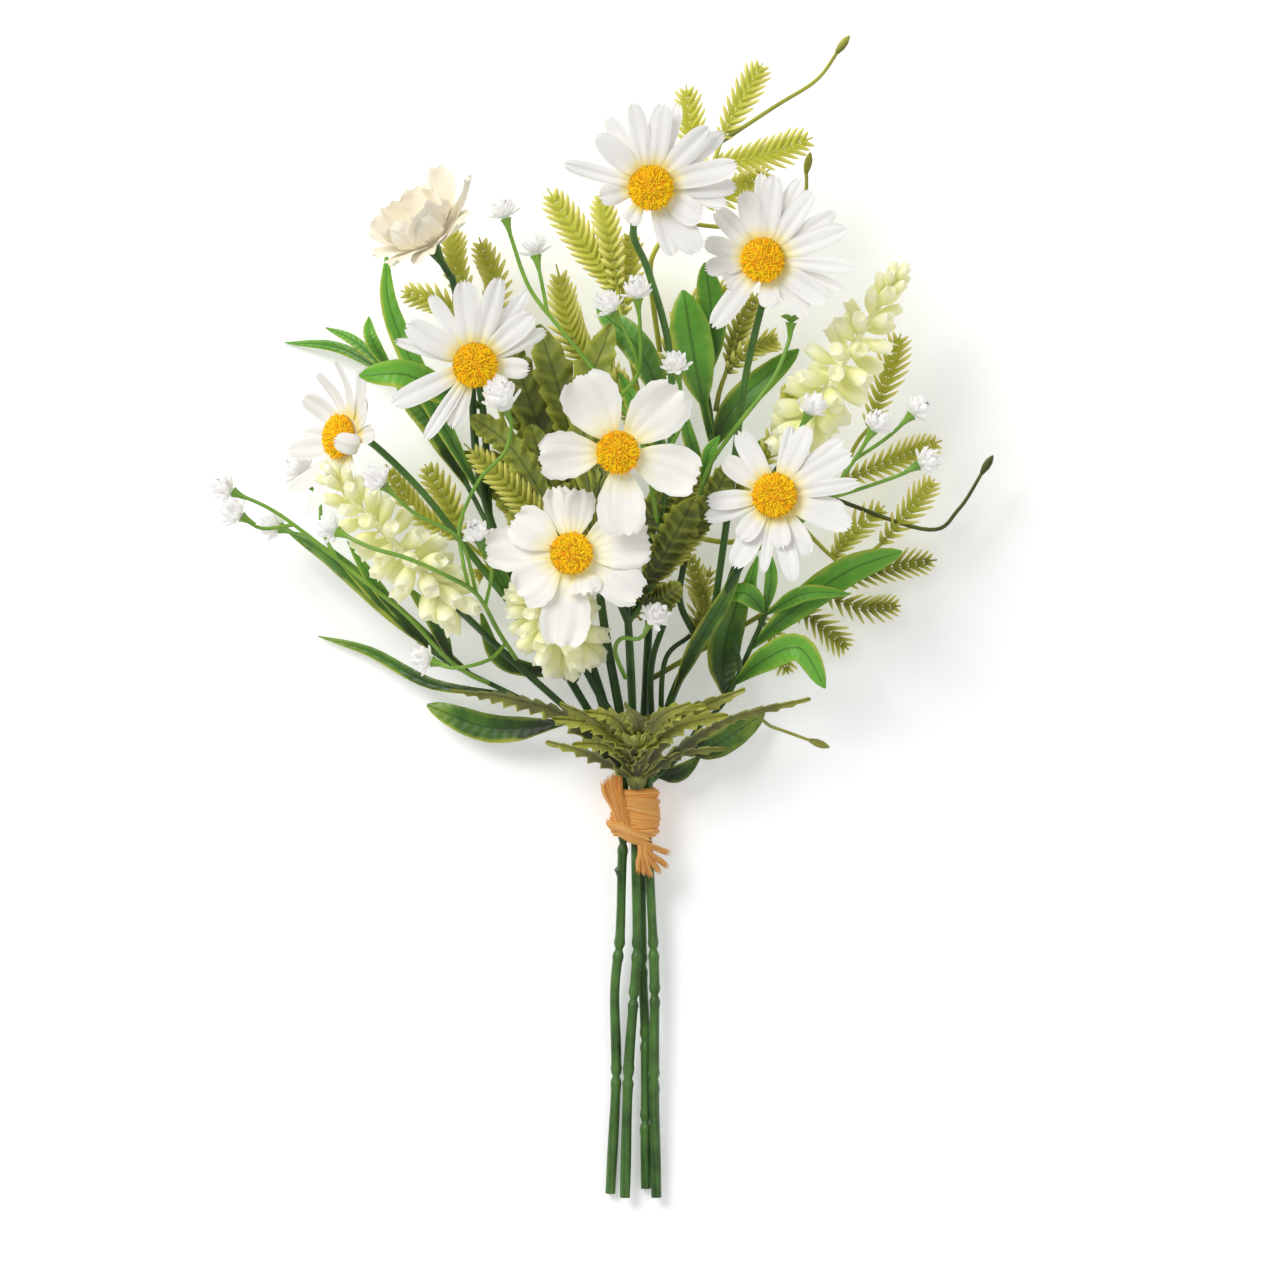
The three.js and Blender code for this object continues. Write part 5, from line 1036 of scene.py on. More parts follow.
def add_head(shells, end, along, radius, spike, dice):
    """A tight rosette of small pointed petals that stands in the cup of its twig."""
    centre = end + along * (0.95 * radius + GAP)
    side, up = directions_round(along)
    scale = spike / HEAD_SPIKE
    core = Route([end + along * 0.08, centre + along * 0.7 * radius])
    shells.spindle(core, [(share, radius * wide) for share, wide in HEAD_OUTLINE], 10, 0.3, side)
    for layer, (number, spread, depth) in enumerate(HEAD_LAYERS):
        for i in range(number):
            angle = math.tau * (i + 0.5 * (layer % 2) + dice.uniform(-0.2, 0.2)) / number
            lean = spread + dice.uniform(-0.22, 0.22)
            round_way = ring_way(side, up, angle)
            out = along * math.cos(lean) + round_way * math.sin(lean)
            root = centre - along * depth * radius + round_way * 0.35 * radius
            tip = centre + out * spike * dice.uniform(0.9, 1.06) * (1 if layer else 1.12)
            mid = root.lerp(tip, 0.5) + round_way * 0.5 * scale * dice.uniform(0.3, 1)
            shells.blade(
                Route([root, mid, tip]), lambda s: 1.12 * scale * ramp(s, HEAD_PETAL), 0.2, 6, 2,
                lambda x, s: (0, 0.42 * scale * x * x, 0), along, dice.random())


# Raffia


def add_ribbon(shells, route, wide, thick, dice, facing, rows):
    """A crinkled strip with ragged ends."""
    phases = [dice.uniform(0, FULL_TURN) for _ in range(3)]

    def shape(x, share):
        lift = 0.3 * math.sin(4 * x + phases[0] + 2 * share)
        lift += 0.12 * math.sin(13 * x + 6 * share + phases[1])
        ragged = 1.1 * math.sin(11 * x + phases[0]) * (ease(0.86, 1, share) - 1 + ease(0, 0.14, share))
        return 0.2 * math.sin(9 * share + phases[2]), lift - 0.6 * x * x, ragged

    shells.blade(route, lambda share: wide / 2, thick / 2, rows, 5, shape, facing, dice.random())


def wrap_route(place, turn, extra):
    """Once round the stems from underneath, and the way out from them at a share of it."""
    tilt = Matrix.Rotation(math.radians(turn), 3, "Z")
    middle = Vector((0, place, TIE_MIDDLE))
    wide, high = (half + TIE_THICKNESS / 2 + extra for half in TIE_HALF)

    def spot(share):
        angle = math.pi * 1.5 + math.tau * share
        return tilt @ Vector((wide * math.cos(angle), 0, high * math.sin(angle)))

    route = Route([middle + spot(i / WRAP_STEPS) for i in range(WRAP_STEPS + 1)])
    return route, lambda share: spot(share).normalized()


# Shader parts


class Value:
    """A number or colour in a shader; numbers can be added, taken away and multiplied."""

    def __init__(self, shader, socket):
        self.shader = shader
        self.socket = socket

    def __add__(self, other):
        return self.shader.math("ADD", self, other)

    def __sub__(self, other):
        return self.shader.math("SUBTRACT", self, other)

    def __rsub__(self, other):
        return self.shader.math("SUBTRACT", other, self)

    def __mul__(self, other):
        return self.shader.math("MULTIPLY", self, other)

    def __abs__(self):
        return self.shader.math("ABSOLUTE", self)

    def fit(self, low, high, start=0.0, end=1.0):
        """The value brought from low and high to start and end, and held between them."""
        return self.shader.out("ShaderNodeMapRange", 0, {0: self, 1: low, 2: high, 3: start, 4: end})


class Shader:
    """Short ways to add and join the nodes of a material or a group."""

    def __init__(self, tree):
        self.tree = tree

    def add(self, kind, inputs=(), **settings):
        node = self.tree.nodes.new(kind)
        for name, value in settings.items():
            setattr(node, name, value)
        for key, value in dict(inputs).items():
            if isinstance(value, Value):
                self.tree.links.new(value.socket, node.inputs[key])
            else:
                node.inputs[key].default_value = value
        return node

    def out(self, kind, output, inputs=(), **settings):
        """One output of a new node."""
        return Value(self, self.add(kind, inputs, **settings).outputs[output])

    def math(self, operation, a, b=0.0):
        return self.out("ShaderNodeMath", 0, {0: a, 1: b}, operation=operation)

    def mix(self, share, a, b):
        """The colour at a share of the way from a to b."""
        return self.out("ShaderNodeMix", 2, {0: share, 6: a, 7: b}, data_type="RGBA")

    def place(self):
        return self.out("ShaderNodeTexCoord", "Object")

    def split(self, vector):
        return [Value(self, socket) for socket in self.add("ShaderNodeSeparateXYZ", {0: vector}).outputs]

    def chart(self):
        """The across and along values of the chart."""
        return self.split(self.out("ShaderNodeUVMap", 0, uv_map="chart"))[:2]

    def shade(self):
        return self.out("ShaderNodeAttribute", "Fac", attribute_name="shade")

    def noise(self, place, scale, detail):
        return self.out("ShaderNodeTexNoise", 0, {"Vector": place, "Scale": scale, "Detail": detail})

    def blotch(self, scale):
        return self.out("ShaderNodeGroup", "Blotch", {"Scale": scale}, node_tree=mottle_group())

    def grain(self, scale):
        return self.out("ShaderNodeGroup", "Grain", {"Scale": scale}, node_tree=mottle_group())

    def lines(self, across, along):
        """Fine lines, so many across a blade and so uneven along it."""
        counts = {"Across": across, "Along": along}
        return self.out("ShaderNodeGroup", "Lines", counts, node_tree=streaks_group())


def group_of(name, given, results, fill):
    """A shader node group, made once."""
    if name in bpy.data.node_groups:
        return bpy.data.node_groups[name]
    group = bpy.data.node_groups.new(name, "ShaderNodeTree")
    for label, value in given.items():
        socket = group.interface.new_socket(name=label, in_out="INPUT", socket_type="NodeSocketFloat")
        socket.default_value = value
    for label in results:
        group.interface.new_socket(name=label, in_out="OUTPUT", socket_type="NodeSocketFloat")
    shader = Shader(group)
    start = shader.add("NodeGroupInput")
    made = fill(shader, *(Value(shader, start.outputs[label]) for label in given))
    shader.add("NodeGroupOutput", zip(results, made))
    return group


def mottle_group():
    """Soft blotches with fine grain, in object space."""

    def fill(shader, scale):
        place = shader.place()
        return shader.noise(place, scale, 3.0).fit(0.35, 0.65), shader.noise(place, scale * 7.0, 4.0)

    return group_of("Mottle", {"Scale": 60.0}, ("Blotch", "Grain"), fill)


def streaks_group():
    """Fine lines that run along a blade, different on each."""

    def fill(shader, wide, long):
        across, along = shader.chart()
        place = {0: across * wide, 1: along * long, 2: shader.shade() * 37.0}
        return [shader.noise(shader.out("ShaderNodeCombineXYZ", 0, place), 1.0, 3.0).fit(0.3, 0.7)]

    return group_of("Streaks", {"Across": 20.0, "Along": 1.5}, ("Lines",), fill)


# Materials


def new_material(name, colour, height, roughness, strength, distance, **more):
    """A material from its colour, its roughness and the height that bumps it, over a distance."""
    material = bpy.data.materials.new(name)
    material.use_nodes = True
    material.node_tree.nodes.clear()
    shader = Shader(material.node_tree)
    bumps = {"Strength": strength, "Distance": distance * MM, "Height": height(shader)}
    normal = shader.out("ShaderNodeBump", 0, bumps)
    looks = {key.replace("_", " "): value for key, value in more.items()}
    looks |= {"Base Color": colour(shader), "Roughness": roughness, "Normal": normal}
    shader.add("ShaderNodeOutputMaterial", {"Surface": shader.out("ShaderNodeBsdfPrincipled", 0, looks)})
    material.diffuse_color = (0.8, 0.8, 0.8, 1)
    return material


def petal_material(name, white, shadow, tint, stain, reach, grooves, glow):
    """Printed cloth: white with soft grey grooves of painted shade, stained yellow where the petal meets the
    disc, with a faint painted glow.
    """

    def colour(shader):
        lines = shader.lines(grooves, 1.0)
        # Painted shade: the grooves turn towards the shadow grey, and so do soft blotches at random
        groove_shade_and_blotches = shader.math("MAXIMUM", (1.0 - lines) * 0.32, shader.blotch(160.0) * 0.2)
        uneven = shader.chart()[1] + lines * 0.1
        pale = shader.mix(uneven.fit(reach, 0.24, 0.0, 0.9), shader.mix(groove_shade_and_blotches, white, shadow), tint)
        return shader.mix(uneven.fit(0.42, 0.22, 0.0, 0.85), pale, stain)

    def height(shader):
        return shader.lines(2.2 * grooves, 1.2) + shader.grain(700.0) * 0.5

    # The white emission is a painted glow that brightens the cloth, though it is no lamp
    return new_material(name, colour, height, 0.75, 0.3, 0.2, Subsurface_Weight=0.2, Sheen_Weight=0.15,
                        Subsurface_Radius=(1, 0.95, 0.8), Subsurface_Scale=0.0015, Emission_Color=white,
                        Emission_Strength=glow)


def disc_material(name, yellow, orange, olive):
    """Flocked florets from yellow to orange, with olive ones between them, olive painted shade in the gaps,
    and a faint painted glow.
    """

    def colour(shader):
        shade, reach = shader.shade(), shader.chart()[1]
        warm = shader.mix(shade.fit(0.62, 0.95), yellow, orange)
        rim = shader.mix(reach.fit(0.75, 1.0) * 0.3, warm, orange)
        # Painted shade and darker florets: florets whose shade value falls in a band, and the dome under
        # them, turn olive, more so towards the middle
        dark = shader.math("GREATER_THAN", shader.math("FRACT", shade * 7.31), 0.8)
        return shader.mix(dark * reach.fit(1.1, 0.2, 0.5, 0.85), rim, olive)

    # The yellow emission is a painted glow that brightens the florets, though they are no lamp
    return new_material(name, colour, lambda shader: shader.grain(900.0), 0.85, 0.4, 0.2, Sheen_Weight=0.05,
                        Emission_Color=yellow, Emission_Strength=0.12)


def leaf_material(name, dark, fresh, edge, veins, gloss=0.36, ridges=0.0):
    """Printed plastic leaf: paler margins, a darker midrib and foot, and side veins."""

    def slant(shader, across, along):
        """How far a spot is from the midrib, and the wave of the side veins there."""
        from_rib = abs(across - 0.5)
        return from_rib, shader.math("SINE", (along * veins - from_rib * 1.1) * math.tau)

    def colour(shader):
        across, along = shader.chart()
        from_rib, wave = slant(shader, across, along)
        shade, grain = shader.shade(), shader.blotch(130.0)
        share = shade * 0.8 + grain * 0.2 + along.fit(0.1, 0.9, -0.2, 0.22)
        body = shader.mix(wave.fit(0.0, 1.0) * ridges, shader.mix(share, dark, fresh), edge)
        body = shader.mix(along.fit(0.6, 0.0, 0.0, 0.75) * from_rib.fit(0.5, 0.15), body, dark)
        margin = (from_rib + grain * 0.12).fit(0.38, 0.54) * across.fit(0.0, 1.0, 0.25, 0.85)
        aged = along.fit(0.6, 1.0) * shade.fit(0.0, 0.5, 0.8, 0.0) * grain
        body = shader.mix(shader.math("MAXIMUM", margin, aged), body, edge)
        return shader.mix(from_rib.fit(0.06, 0.0, 0.0, 0.6), body, dark)

    def height(shader):
        from_rib, wave = slant(shader, *shader.chart())
        return wave * 0.3 + from_rib.fit(0.0, 0.06) + shader.grain(500.0) * 0.5

    return new_material(name, colour, height, gloss, 0.5, 0.3, Specular_IOR_Level=0.45)


def fern_material(name, dark, fresh, pale):
    """Leaflets from dark at the rib and the foot of a frond to fresh, with pale tips."""

    def colour(shader):
        across, along = shader.chart()
        shade = shader.shade()
        share = along.fit(0.0, 1.0, 0.0, 0.3) + shade * 0.75 + across * 0.6 + shader.blotch(120.0) * 0.15
        body = shader.mix(share.fit(0.25, 1.0), dark, fresh)
        return shader.mix(across.fit(0.3, 0.85) * shade.fit(0.0, 0.6, 0.25, 0.95), body, pale)

    return new_material(name, colour, lambda shader: shader.grain(600.0), 0.5, 0.35, 0.2,
                        Specular_IOR_Level=0.35)


def stem_material(name, dark, fresh, roughness, painted_shade_above_tie=0.0):
    """Moulded plastic with faint ribs along it, darker above the tie by painted shade; a shade value over one
    half paints it lighter.
    """

    def colour(shader):
        share = shader.blotch(110.0) * 0.45 + shader.lines(9.0, 0.4) * 0.45
        along = shader.split(shader.place())[1]
        # Painted shade above the tie, by the given share
        high = along.fit(TIE_PLACE + 0.01, TIE_PLACE + 0.03, 1.0, 1.0 - painted_shade_above_tie)
        # A shade value over one half paints a branch lighter, as if less shaded between the leaves
        return shader.mix(share * high + (shader.shade() - 0.5) * 1.2, dark, fresh)

    def height(shader):
        return shader.lines(14.0, 0.5) + shader.grain(400.0) * 0.8

    return new_material(name, colour, height, roughness, 0.45, 0.2)


def bells_material(name, cream, green):
    """Soft waxy bells, greener towards their stalks, with a faint painted glow."""

    def colour(shader):
        along = shader.chart()[1].fit(0.15, 0.65, 1.0, 0.0)
        return shader.mix(along + shader.shade() * 0.35 + shader.blotch(200.0) * 0.2, cream, green)

    def height(shader):
        return shader.lines(8.0, 0.8) + shader.grain(500.0) * 0.5

    # The cream emission is a painted glow that brightens the bells, though they are no lamp
    return new_material(name, colour, height, 0.3, 0.2, 0.2, Subsurface_Weight=0.7, Emission_Color=cream,
                        Subsurface_Radius=(1, 0.9, 0.6), Subsurface_Scale=0.002, Emission_Strength=0.07)


def head_material(name, white, green, blush):
    """Small white petals with a green foot and the faintest blush, and a faint painted glow."""

    def colour(shader):
        tinted = shader.mix(shader.math("FRACT", shader.shade() * 5.17) * 0.3, white, blush)
        return shader.mix(shader.chart()[1].fit(0.05, 0.4, 0.45, 0.0), tinted, green)

    # The white emission is a painted glow that brightens the heads, though they are no lamp
    return new_material(name, colour, lambda shader: shader.lines(6.0, 1.0), 0.6, 0.2, 0.15,
                        Subsurface_Weight=0.6, Subsurface_Radius=(1, 0.95, 0.85), Subsurface_Scale=0.003,
                        Emission_Color=white, Emission_Strength=0.08)


def raffia_material(name, tan, dark, pale):
    """Split palm fibre: pale and brown threads along each strip, painted shade along each strip's edges, and
    a faint painted glow.
    """

    def colour(shader):
        strip = shader.mix(shader.shade() * 0.5, tan, pale)
        body = shader.mix((1.0 - shader.lines(7.0, 0.8)) * 0.6, strip, dark)
        # Painted shade: each strip darkens towards its edges
        body = shader.mix(abs(shader.chart()[0] - 0.5).fit(0.4, 0.5, 0.0, 0.7), body, dark)
        return shader.mix(shader.lines(26.0, 1.5).fit(0.5, 1.0) * 0.5, body, pale)

    def height(shader):
        return shader.lines(7.0, 0.8) + shader.lines(30.0, 1.5) * 0.6

    # The tan emission is a painted glow that brightens the raffia, though it is no lamp
    return new_material(name, colour, height, 0.55, 0.8, 0.5, Emission_Color=tan, Emission_Strength=0.08)


def floor_material(name, tone):
    """Pale paper with the faintest blotches."""

    def colour(shader):
        return shader.mix(shader.blotch(3.0), [0.985 * channel for channel in tone[:3]] + [1], tone)

    return new_material(name, colour, lambda shader: shader.grain(300.0), 0.9, 0.05, 0.1,
                        Emission_Color=(1, 1, 1, 1), Emission_Strength=0.26)


# Stems and branches: what carries each, and what each carries


def all_routes():
    routes = {
        "left": Route(towards_bloom(STEM_LEFT, DAISY_LEFT)),
        "front": Route(towards_bloom(STEM_FRONT, COSMOS_UPPER)),
        "back": Route(STEM_BACK),
        "right": Route(towards_bloom(STEM_RIGHT, DAISY_RIGHT)),
    }
    for key, on, places in (
        ("farLeft", "left", towards_bloom(BRANCH_FAR_LEFT, DAISY_FAR_LEFT)),
        ("cream", "left", towards_bloom(BRANCH_CREAM, CREAM_BLOOM)),
        ("bellsLeft", "left", [*BRANCH_BELLS_LEFT, behind(BELLS_LEFT)]),
        ("leaves", "left", BRANCH_LEAVES_LEFT),
        ("thin", "left", BRANCH_THIN_LEFT),
        ("lower", "front", towards_bloom(BRANCH_COSMOS_LOWER, COSMOS_LOWER)),
        ("top", "front", towards_bloom(BRANCH_DAISY_TOP, DAISY_TOP)),
        ("bellsLow", "front", [*BRANCH_BELLS_LOW, behind(BELLS_LOW)]),
        ("upperRight", "right", towards_bloom(BRANCH_UPPER_RIGHT, DAISY_UPPER_RIGHT)),
        ("bellsRight", "right", [*BRANCH_BELLS_RIGHT, behind(BELLS_RIGHT)]),
        ("upright", "right", BRANCH_UPRIGHT),
        ("leavesRight", "right", BRANCH_LEAVES_RIGHT),
    ):
        routes[key] = branch_of(routes[on], places)
    return routes


ROUTES = all_routes()
STEM_NODES = {
    "stem_left": {
        "stem": "left", "branches": ("farLeft", "cream", "bellsLeft"), "slim": ("leaves", "thin"),
        "blooms": (DAISY_LEFT, DAISY_FAR_LEFT, CREAM_BLOOM), "leaves": LEAVES_LEFT,
    },
    "stem_front": {
        "stem": "front", "branches": ("lower", "top", "bellsLow"), "slim": (),
        "blooms": (COSMOS_UPPER, COSMOS_LOWER, DAISY_TOP), "leaves": LEAVES_FRONT,
    },
    "stem_back": {"stem": "back", "branches": (), "slim": (), "blooms": (), "leaves": {}},
    "stem_right": {
        "stem": "right", "branches": ("upperRight", "bellsRight", "upright"), "slim": ("leavesRight",),
        "blooms": (DAISY_RIGHT, DAISY_UPPER_RIGHT), "leaves": LEAVES_RIGHT,
    },
}
DAISIES = {"daisy_top": DAISY_TOP, "daisy_upper_right": DAISY_UPPER_RIGHT, "daisy_left": DAISY_LEFT,
           "daisy_far_left": DAISY_FAR_LEFT, "daisy_right": DAISY_RIGHT}
COSMOS = {"cosmos_upper": COSMOS_UPPER, "cosmos_lower": COSMOS_LOWER}
SPIKES = {"bells_left": BELLS_LEFT, "bells_low": BELLS_LOW, "bells_right": BELLS_RIGHT}

# Ferns and twigs, with the radius of the stem or branch that each starts beside

FERNS = {"fern_top": (FERN_TOP, STEM_RADIUS), "fern_upper_left": (FERN_UPPER_LEFT, 1),
         "fern_left": (FERN_LEFT, 1), "fern_right_high": (FERN_RIGHT_HIGH, 1),
         "fern_right_low": (FERN_RIGHT_LOW, 1.1), "fern_mid": (FERN_MID, PETIOLE_RADIUS)}
TWIGS = {"twig_left": (TWIG_LEFT, BRANCH_RADIUS), "twig_far_left": (TWIG_FAR_LEFT, PETIOLE_RADIUS),
         "twig_low": (TWIG_LOW, STEM_RADIUS), "twig_right": (TWIG_RIGHT, BRANCH_RADIUS),
         "twig_up": (TWIG_UP, BRANCH_RADIUS), "twig_mid": (TWIG_MID, PETIOLE_RADIUS)}


def twig_routes(twig, parent_radius):
    trunk = beside(ROUTES[twig["on"]], parent_radius, TWIG_RADIUS, twig["trunk"])
    return [trunk] + [branch_of(trunk, places) for places in twig["sides"]]


# Settings


def length(name, description, millimetres):
    return FloatProperty(name=name, description=description, default=millimetres * MM, min=0, unit="LENGTH")


def number(name, description, default, least=0):
    return IntProperty(name=name, description=description, default=default, min=least)


def tone(name, description, red, green, blue):
    return FloatVectorProperty(name=name, description=description, subtype="COLOR", size=4, min=0, max=1,
                               default=srgb(red, green, blue))


class DaisySizes(bpy.types.PropertyGroup):
    """Sizes of the fine shapes that the solids leave plain."""

    petal_thickness: length("Petal thickness", "Half thickness of the cloth petals", 0.2)
    petal_grooves: length("Petal grooves", "Depth of the grooves along a daisy petal", 0.6)
    petal_notch: length("Petal notch", "Depth of the notches at a daisy petal's tip", 1.1)
    floret: length("Floret size", "Width of the florets of a disc", 0.56)
    raffia_width: length("Raffia width", "Width of one strip of raffia", 5)
    daisy_florets: number("Daisy florets", "Florets on a daisy's disc", 640, 20)
    cosmos_florets: number("Cosmos florets", "Florets on a broad bloom's disc", 600, 20)
    bells: number("Bells", "Bells on a spike", 50, 6)
    leaflet_spacing: length("Leaflet spacing", "Distance from leaflet to leaflet along a frond", 2.3)
    seed: number("Seed", "Start of the random draws", 7)


class DaisyColours(bpy.types.PropertyGroup):
    """Colours of the bunch."""

    petal: tone("Petal", "White of the daisy petals", 247, 245, 240)
    petal_shadow: tone("Petal shadow", "Grey of the grooves in the petals", 212, 211, 211)
    petal_tint: tone("Petal tint", "Pale tint low on the petals", 255, 248, 176)
    petal_stain: tone("Petal stain", "Golden stain where the petals meet the disc", 248, 220, 72)
    cosmos: tone("Cosmos petal", "Warm white of the broad petals", 252, 249, 240)
    cream: tone("Cream petal", "Cream of the half-open bloom", 247, 239, 219)
    cream_shadow: tone("Cream shadow", "Grooves of the half-open bloom", 236, 228, 202)
    disc_yellow: tone("Disc yellow", "Yellow of the florets", 255, 228, 16)
    disc_orange: tone("Disc orange", "Orange of the florets", 252, 146, 4)
    # Olive of the darker florets, and of the painted shade in the gaps between them
    disc_olive_and_gap_shade: tone("Disc olive", "Olive of the darker florets", 158, 118, 4)
    leaf_dark: tone("Dark leaf", "Dark green of the old leaves", 38, 56, 20)
    leaf_fresh: tone("Fresh leaf", "Green of the fresh leaves", 114, 186, 58)
    leaf_edge: tone("Leaf edge", "Yellow green of the margins", 190, 198, 74)
    olive_dark: tone("Dark olive", "Dark of the olive leaves", 42, 52, 24)
    olive_fresh: tone("Fresh olive", "Light of the olive leaves", 140, 152, 58)
    whorl_dark: tone("Dark whorl", "Dark of the leaves over the tie", 50, 56, 34)
    whorl_fresh: tone("Fresh whorl", "Light of the leaves over the tie", 176, 178, 76)
    fern_dark: tone("Dark fern", "Dark of the fern leaflets", 70, 78, 32)
    fern_fresh: tone("Fresh fern", "Light of the fern leaflets", 198, 200, 74)
    fern_pale: tone("Pale fern", "Pale ends of the leaflets", 248, 238, 144)
    stem_dark: tone("Dark stem", "Dark of the stems", 26, 56, 16)
    stem_fresh: tone("Fresh stem", "Light of the stems", 92, 138, 58)
    twig_dark: tone("Dark twig", "Dark of the bright twigs", 90, 142, 42)
    twig_fresh: tone("Fresh twig", "Light of the bright twigs", 150, 190, 70)
    bell_cream: tone("Bell cream", "Cream of the bells", 254, 251, 220)
    bell_green: tone("Bell green", "Green of the bells near their stalks", 232, 234, 158)
    head: tone("Head white", "White of the spiky heads", 253, 253, 250)
    head_green: tone("Head green", "Green at the foot of the heads", 220, 230, 190)
    head_blush: tone("Head blush", "Blush of the heads", 244, 226, 232)
    raffia: tone("Raffia", "Tan of the raffia", 255, 178, 80)
    # The brown also paints the shade along the strips' edges
    raffia_dark: tone("Raffia brown", "Brown of the raffia's threads", 188, 108, 36)
    raffia_pale: tone("Raffia straw", "Straw of the raffia's threads", 255, 218, 142)
    floor: tone("Floor", "Pale floor under the bunch", 252, 252, 252)


def sizes():
    return bpy.context.scene.daisy_sizes


def tones(*names):
    return [getattr(bpy.context.scene.daisy_colours, name)[:] for name in names]


def draws(offset):
    """Random draws that start at a fixed distance from the seed."""
    return random.Random(sizes().seed + offset)


# Operators


class DAISY_OT_stems(bpy.types.Operator):
    """Makes the round stems and branches with their joins and calyxes"""

    bl_idname = "daisy.stems"
    bl_label = "Stems"

    def execute(self, context):
        # The second 0.4 is the share of painted shade above the tie
        material = stem_material("stem_plastic", *tones("stem_dark", "stem_fresh"), 0.4, 0.4)
        for node, row in STEM_NODES.items():
            shells = Shells()
            key = row["stem"]

            def swell(place, joins=JOINS[key], phase=len(key)):
                near = min(abs(place.y - y) for y in joins)
                lump = 0.16 * math.exp(-((near - 2.2) / 1.1) ** 2) - 0.3 * math.exp(-(near / 0.8) ** 2)
                return 1 + lump + 0.035 * math.sin(0.21 * place.y + phase)

            shells.rod(ROUTES[key], STEM_RADIUS * 1.02, BRANCH_RADIUS, 12, 1.1, swell)
            for name in row["branches"]:
                end = PETIOLE_RADIUS if name == "upright" else BRANCH_RADIUS
                # Branches that show between the leaves are painted lighter
                shade = 0.8 if name in OPEN_BRANCHES else 0.5
                shells.rod(ROUTES[name], BRANCH_RADIUS, end, 9, 2.5, None, shade)
            for name in row["slim"]:
                shells.rod(ROUTES[name], PETIOLE_RADIUS, PETIOLE_RADIUS, 8, 2.5)
            for name, places, radius, owner in FILL_STEMS:
                if owner == node:
                    shells.rod(branch_of(ROUTES[name], places), radius, 0.8 * radius, 10, 2.2)
            for bloom in row["blooms"]:
                add_calyx(shells, bloom)
            place_piece(f"{node}_rods", shells, material, [node])
        return {"FINISHED"}


class DAISY_OT_leaves(bpy.types.Operator):
    """Makes the smooth leaves and the saw-edged leaves on the stems"""

    bl_idname = "daisy.leaves"
    bl_label = "Leaves"

    def execute(self, context):
        material = leaf_material("leaf_plastic", *tones("leaf_dark", "leaf_fresh", "leaf_edge"), 14)
        tints = tones("olive_dark", "olive_fresh", "leaf_edge")
        saw = leaf_material("saw_leaf_plastic", *tints, SAW_TEETH, 0.5, 0.32)
        dice = draws(0)
        for node, row in STEM_NODES.items():
            if not row["leaves"]:
                continue
            shells = Shells()
            for key, leaves in row["leaves"].items():
                for (places, half), shade in zip(leaves, LEAF_SHADES[key]):
                    add_leaf(shells, branch_of(ROUTES[key], places), half, dice, shade)
            for owner, places, half, shade in SHEATH_LEAVES:
                if owner == node:
                    add_leaf(shells, Route(places), half, dice, shade)
            place_piece(f"{node}_leaves", shells, material, [node])
        shells = Shells()
        for key, places, half, shade in SAW_LEAVES:
            add_saw_leaf(shells, branch_of(ROUTES[key], places), half, SAW_TEETH, dice, shade, STALKED_BLADE)
        place_piece("saw_leaves", shells, saw, ["stem_front"])
        return {"FINISHED"}


class DAISY_OT_petals(bpy.types.Operator):
    """Makes the narrow grooved petals of the five daisies"""

    bl_idname = "daisy.petals"
    bl_label = "Daisy petals"

    def execute(self, context):
        cloth = tones("petal", "petal_shadow", "petal_tint", "petal_stain")
        material = petal_material("daisy_cloth", *cloth, 0.54, 4.0, 0.035)
        looks = {"outline": NARROW_PETAL, "root": 2.5, "bend": 8.4, "grooves": sizes().petal_grooves / MM,
                 "creases": 2, "notch": sizes().petal_notch / MM, "wave": 0.6}
        dice = draws(1)
        for name, bloom in DAISIES.items():
            make_ring(name, bloom, bloom["petals"], CORE_RADIUS, material, dice, looks)
        return {"FINISHED"}


class DAISY_OT_cosmos(bpy.types.Operator):
    """Makes the broad creased petals of the two cosmos blooms"""

    bl_idname = "daisy.cosmos"
    bl_label = "Cosmos petals"

    def execute(self, context):
        cloth = tones("cosmos", "petal_shadow", "petal_tint", "petal_stain")
        material = petal_material("cosmos_cloth", *cloth, 0.66, 7.0, 0.06)
        looks = {"outline": BROAD_PETAL, "root": 2, "bend": 7.6, "grooves": 0.35, "creases": 4, "notch": 0.8,
                 "wave": 1.3, "rows": 24, "columns": 10, "fringe": 0.55, "ruffle": 0.5}
        dice = draws(2)
        for name, bloom in COSMOS.items():
            make_ring(name, bloom, bloom["petals"], CORE_RADIUS, material, dice, looks)
        return {"FINISHED"}


class DAISY_OT_cream(bpy.types.Operator):
    """Makes the cupped ragged petals of the cream bloom"""

    bl_idname = "daisy.cream"
    bl_label = "Cream bloom"

    def execute(self, context):
        cloth = tones("cream", "cream_shadow", "petal_tint", "cream_shadow")
        material = petal_material("cream_cloth", *cloth, 0.4, 6.0, 0.055)
        looks = {"outline": BROAD_PETAL, "root": 0.8, "bend": 3.4, "grooves": 0.3, "creases": 3, "notch": 1,
                 "wave": 1.4, "rows": 22, "columns": 8, "fringe": 0.45, "ruffle": 0.6}
        wide = [(turn, long, CREAM_SPREAD * half, lift, layer) for turn, long, half, lift, layer in
                CREAM_BLOOM["petals"]]
        make_ring("cream_bloom", CREAM_BLOOM, wide + CREAM_INNER_PETALS, CREAM_CORE_RADIUS, material,
                  draws(3), looks)
        return {"FINISHED"}


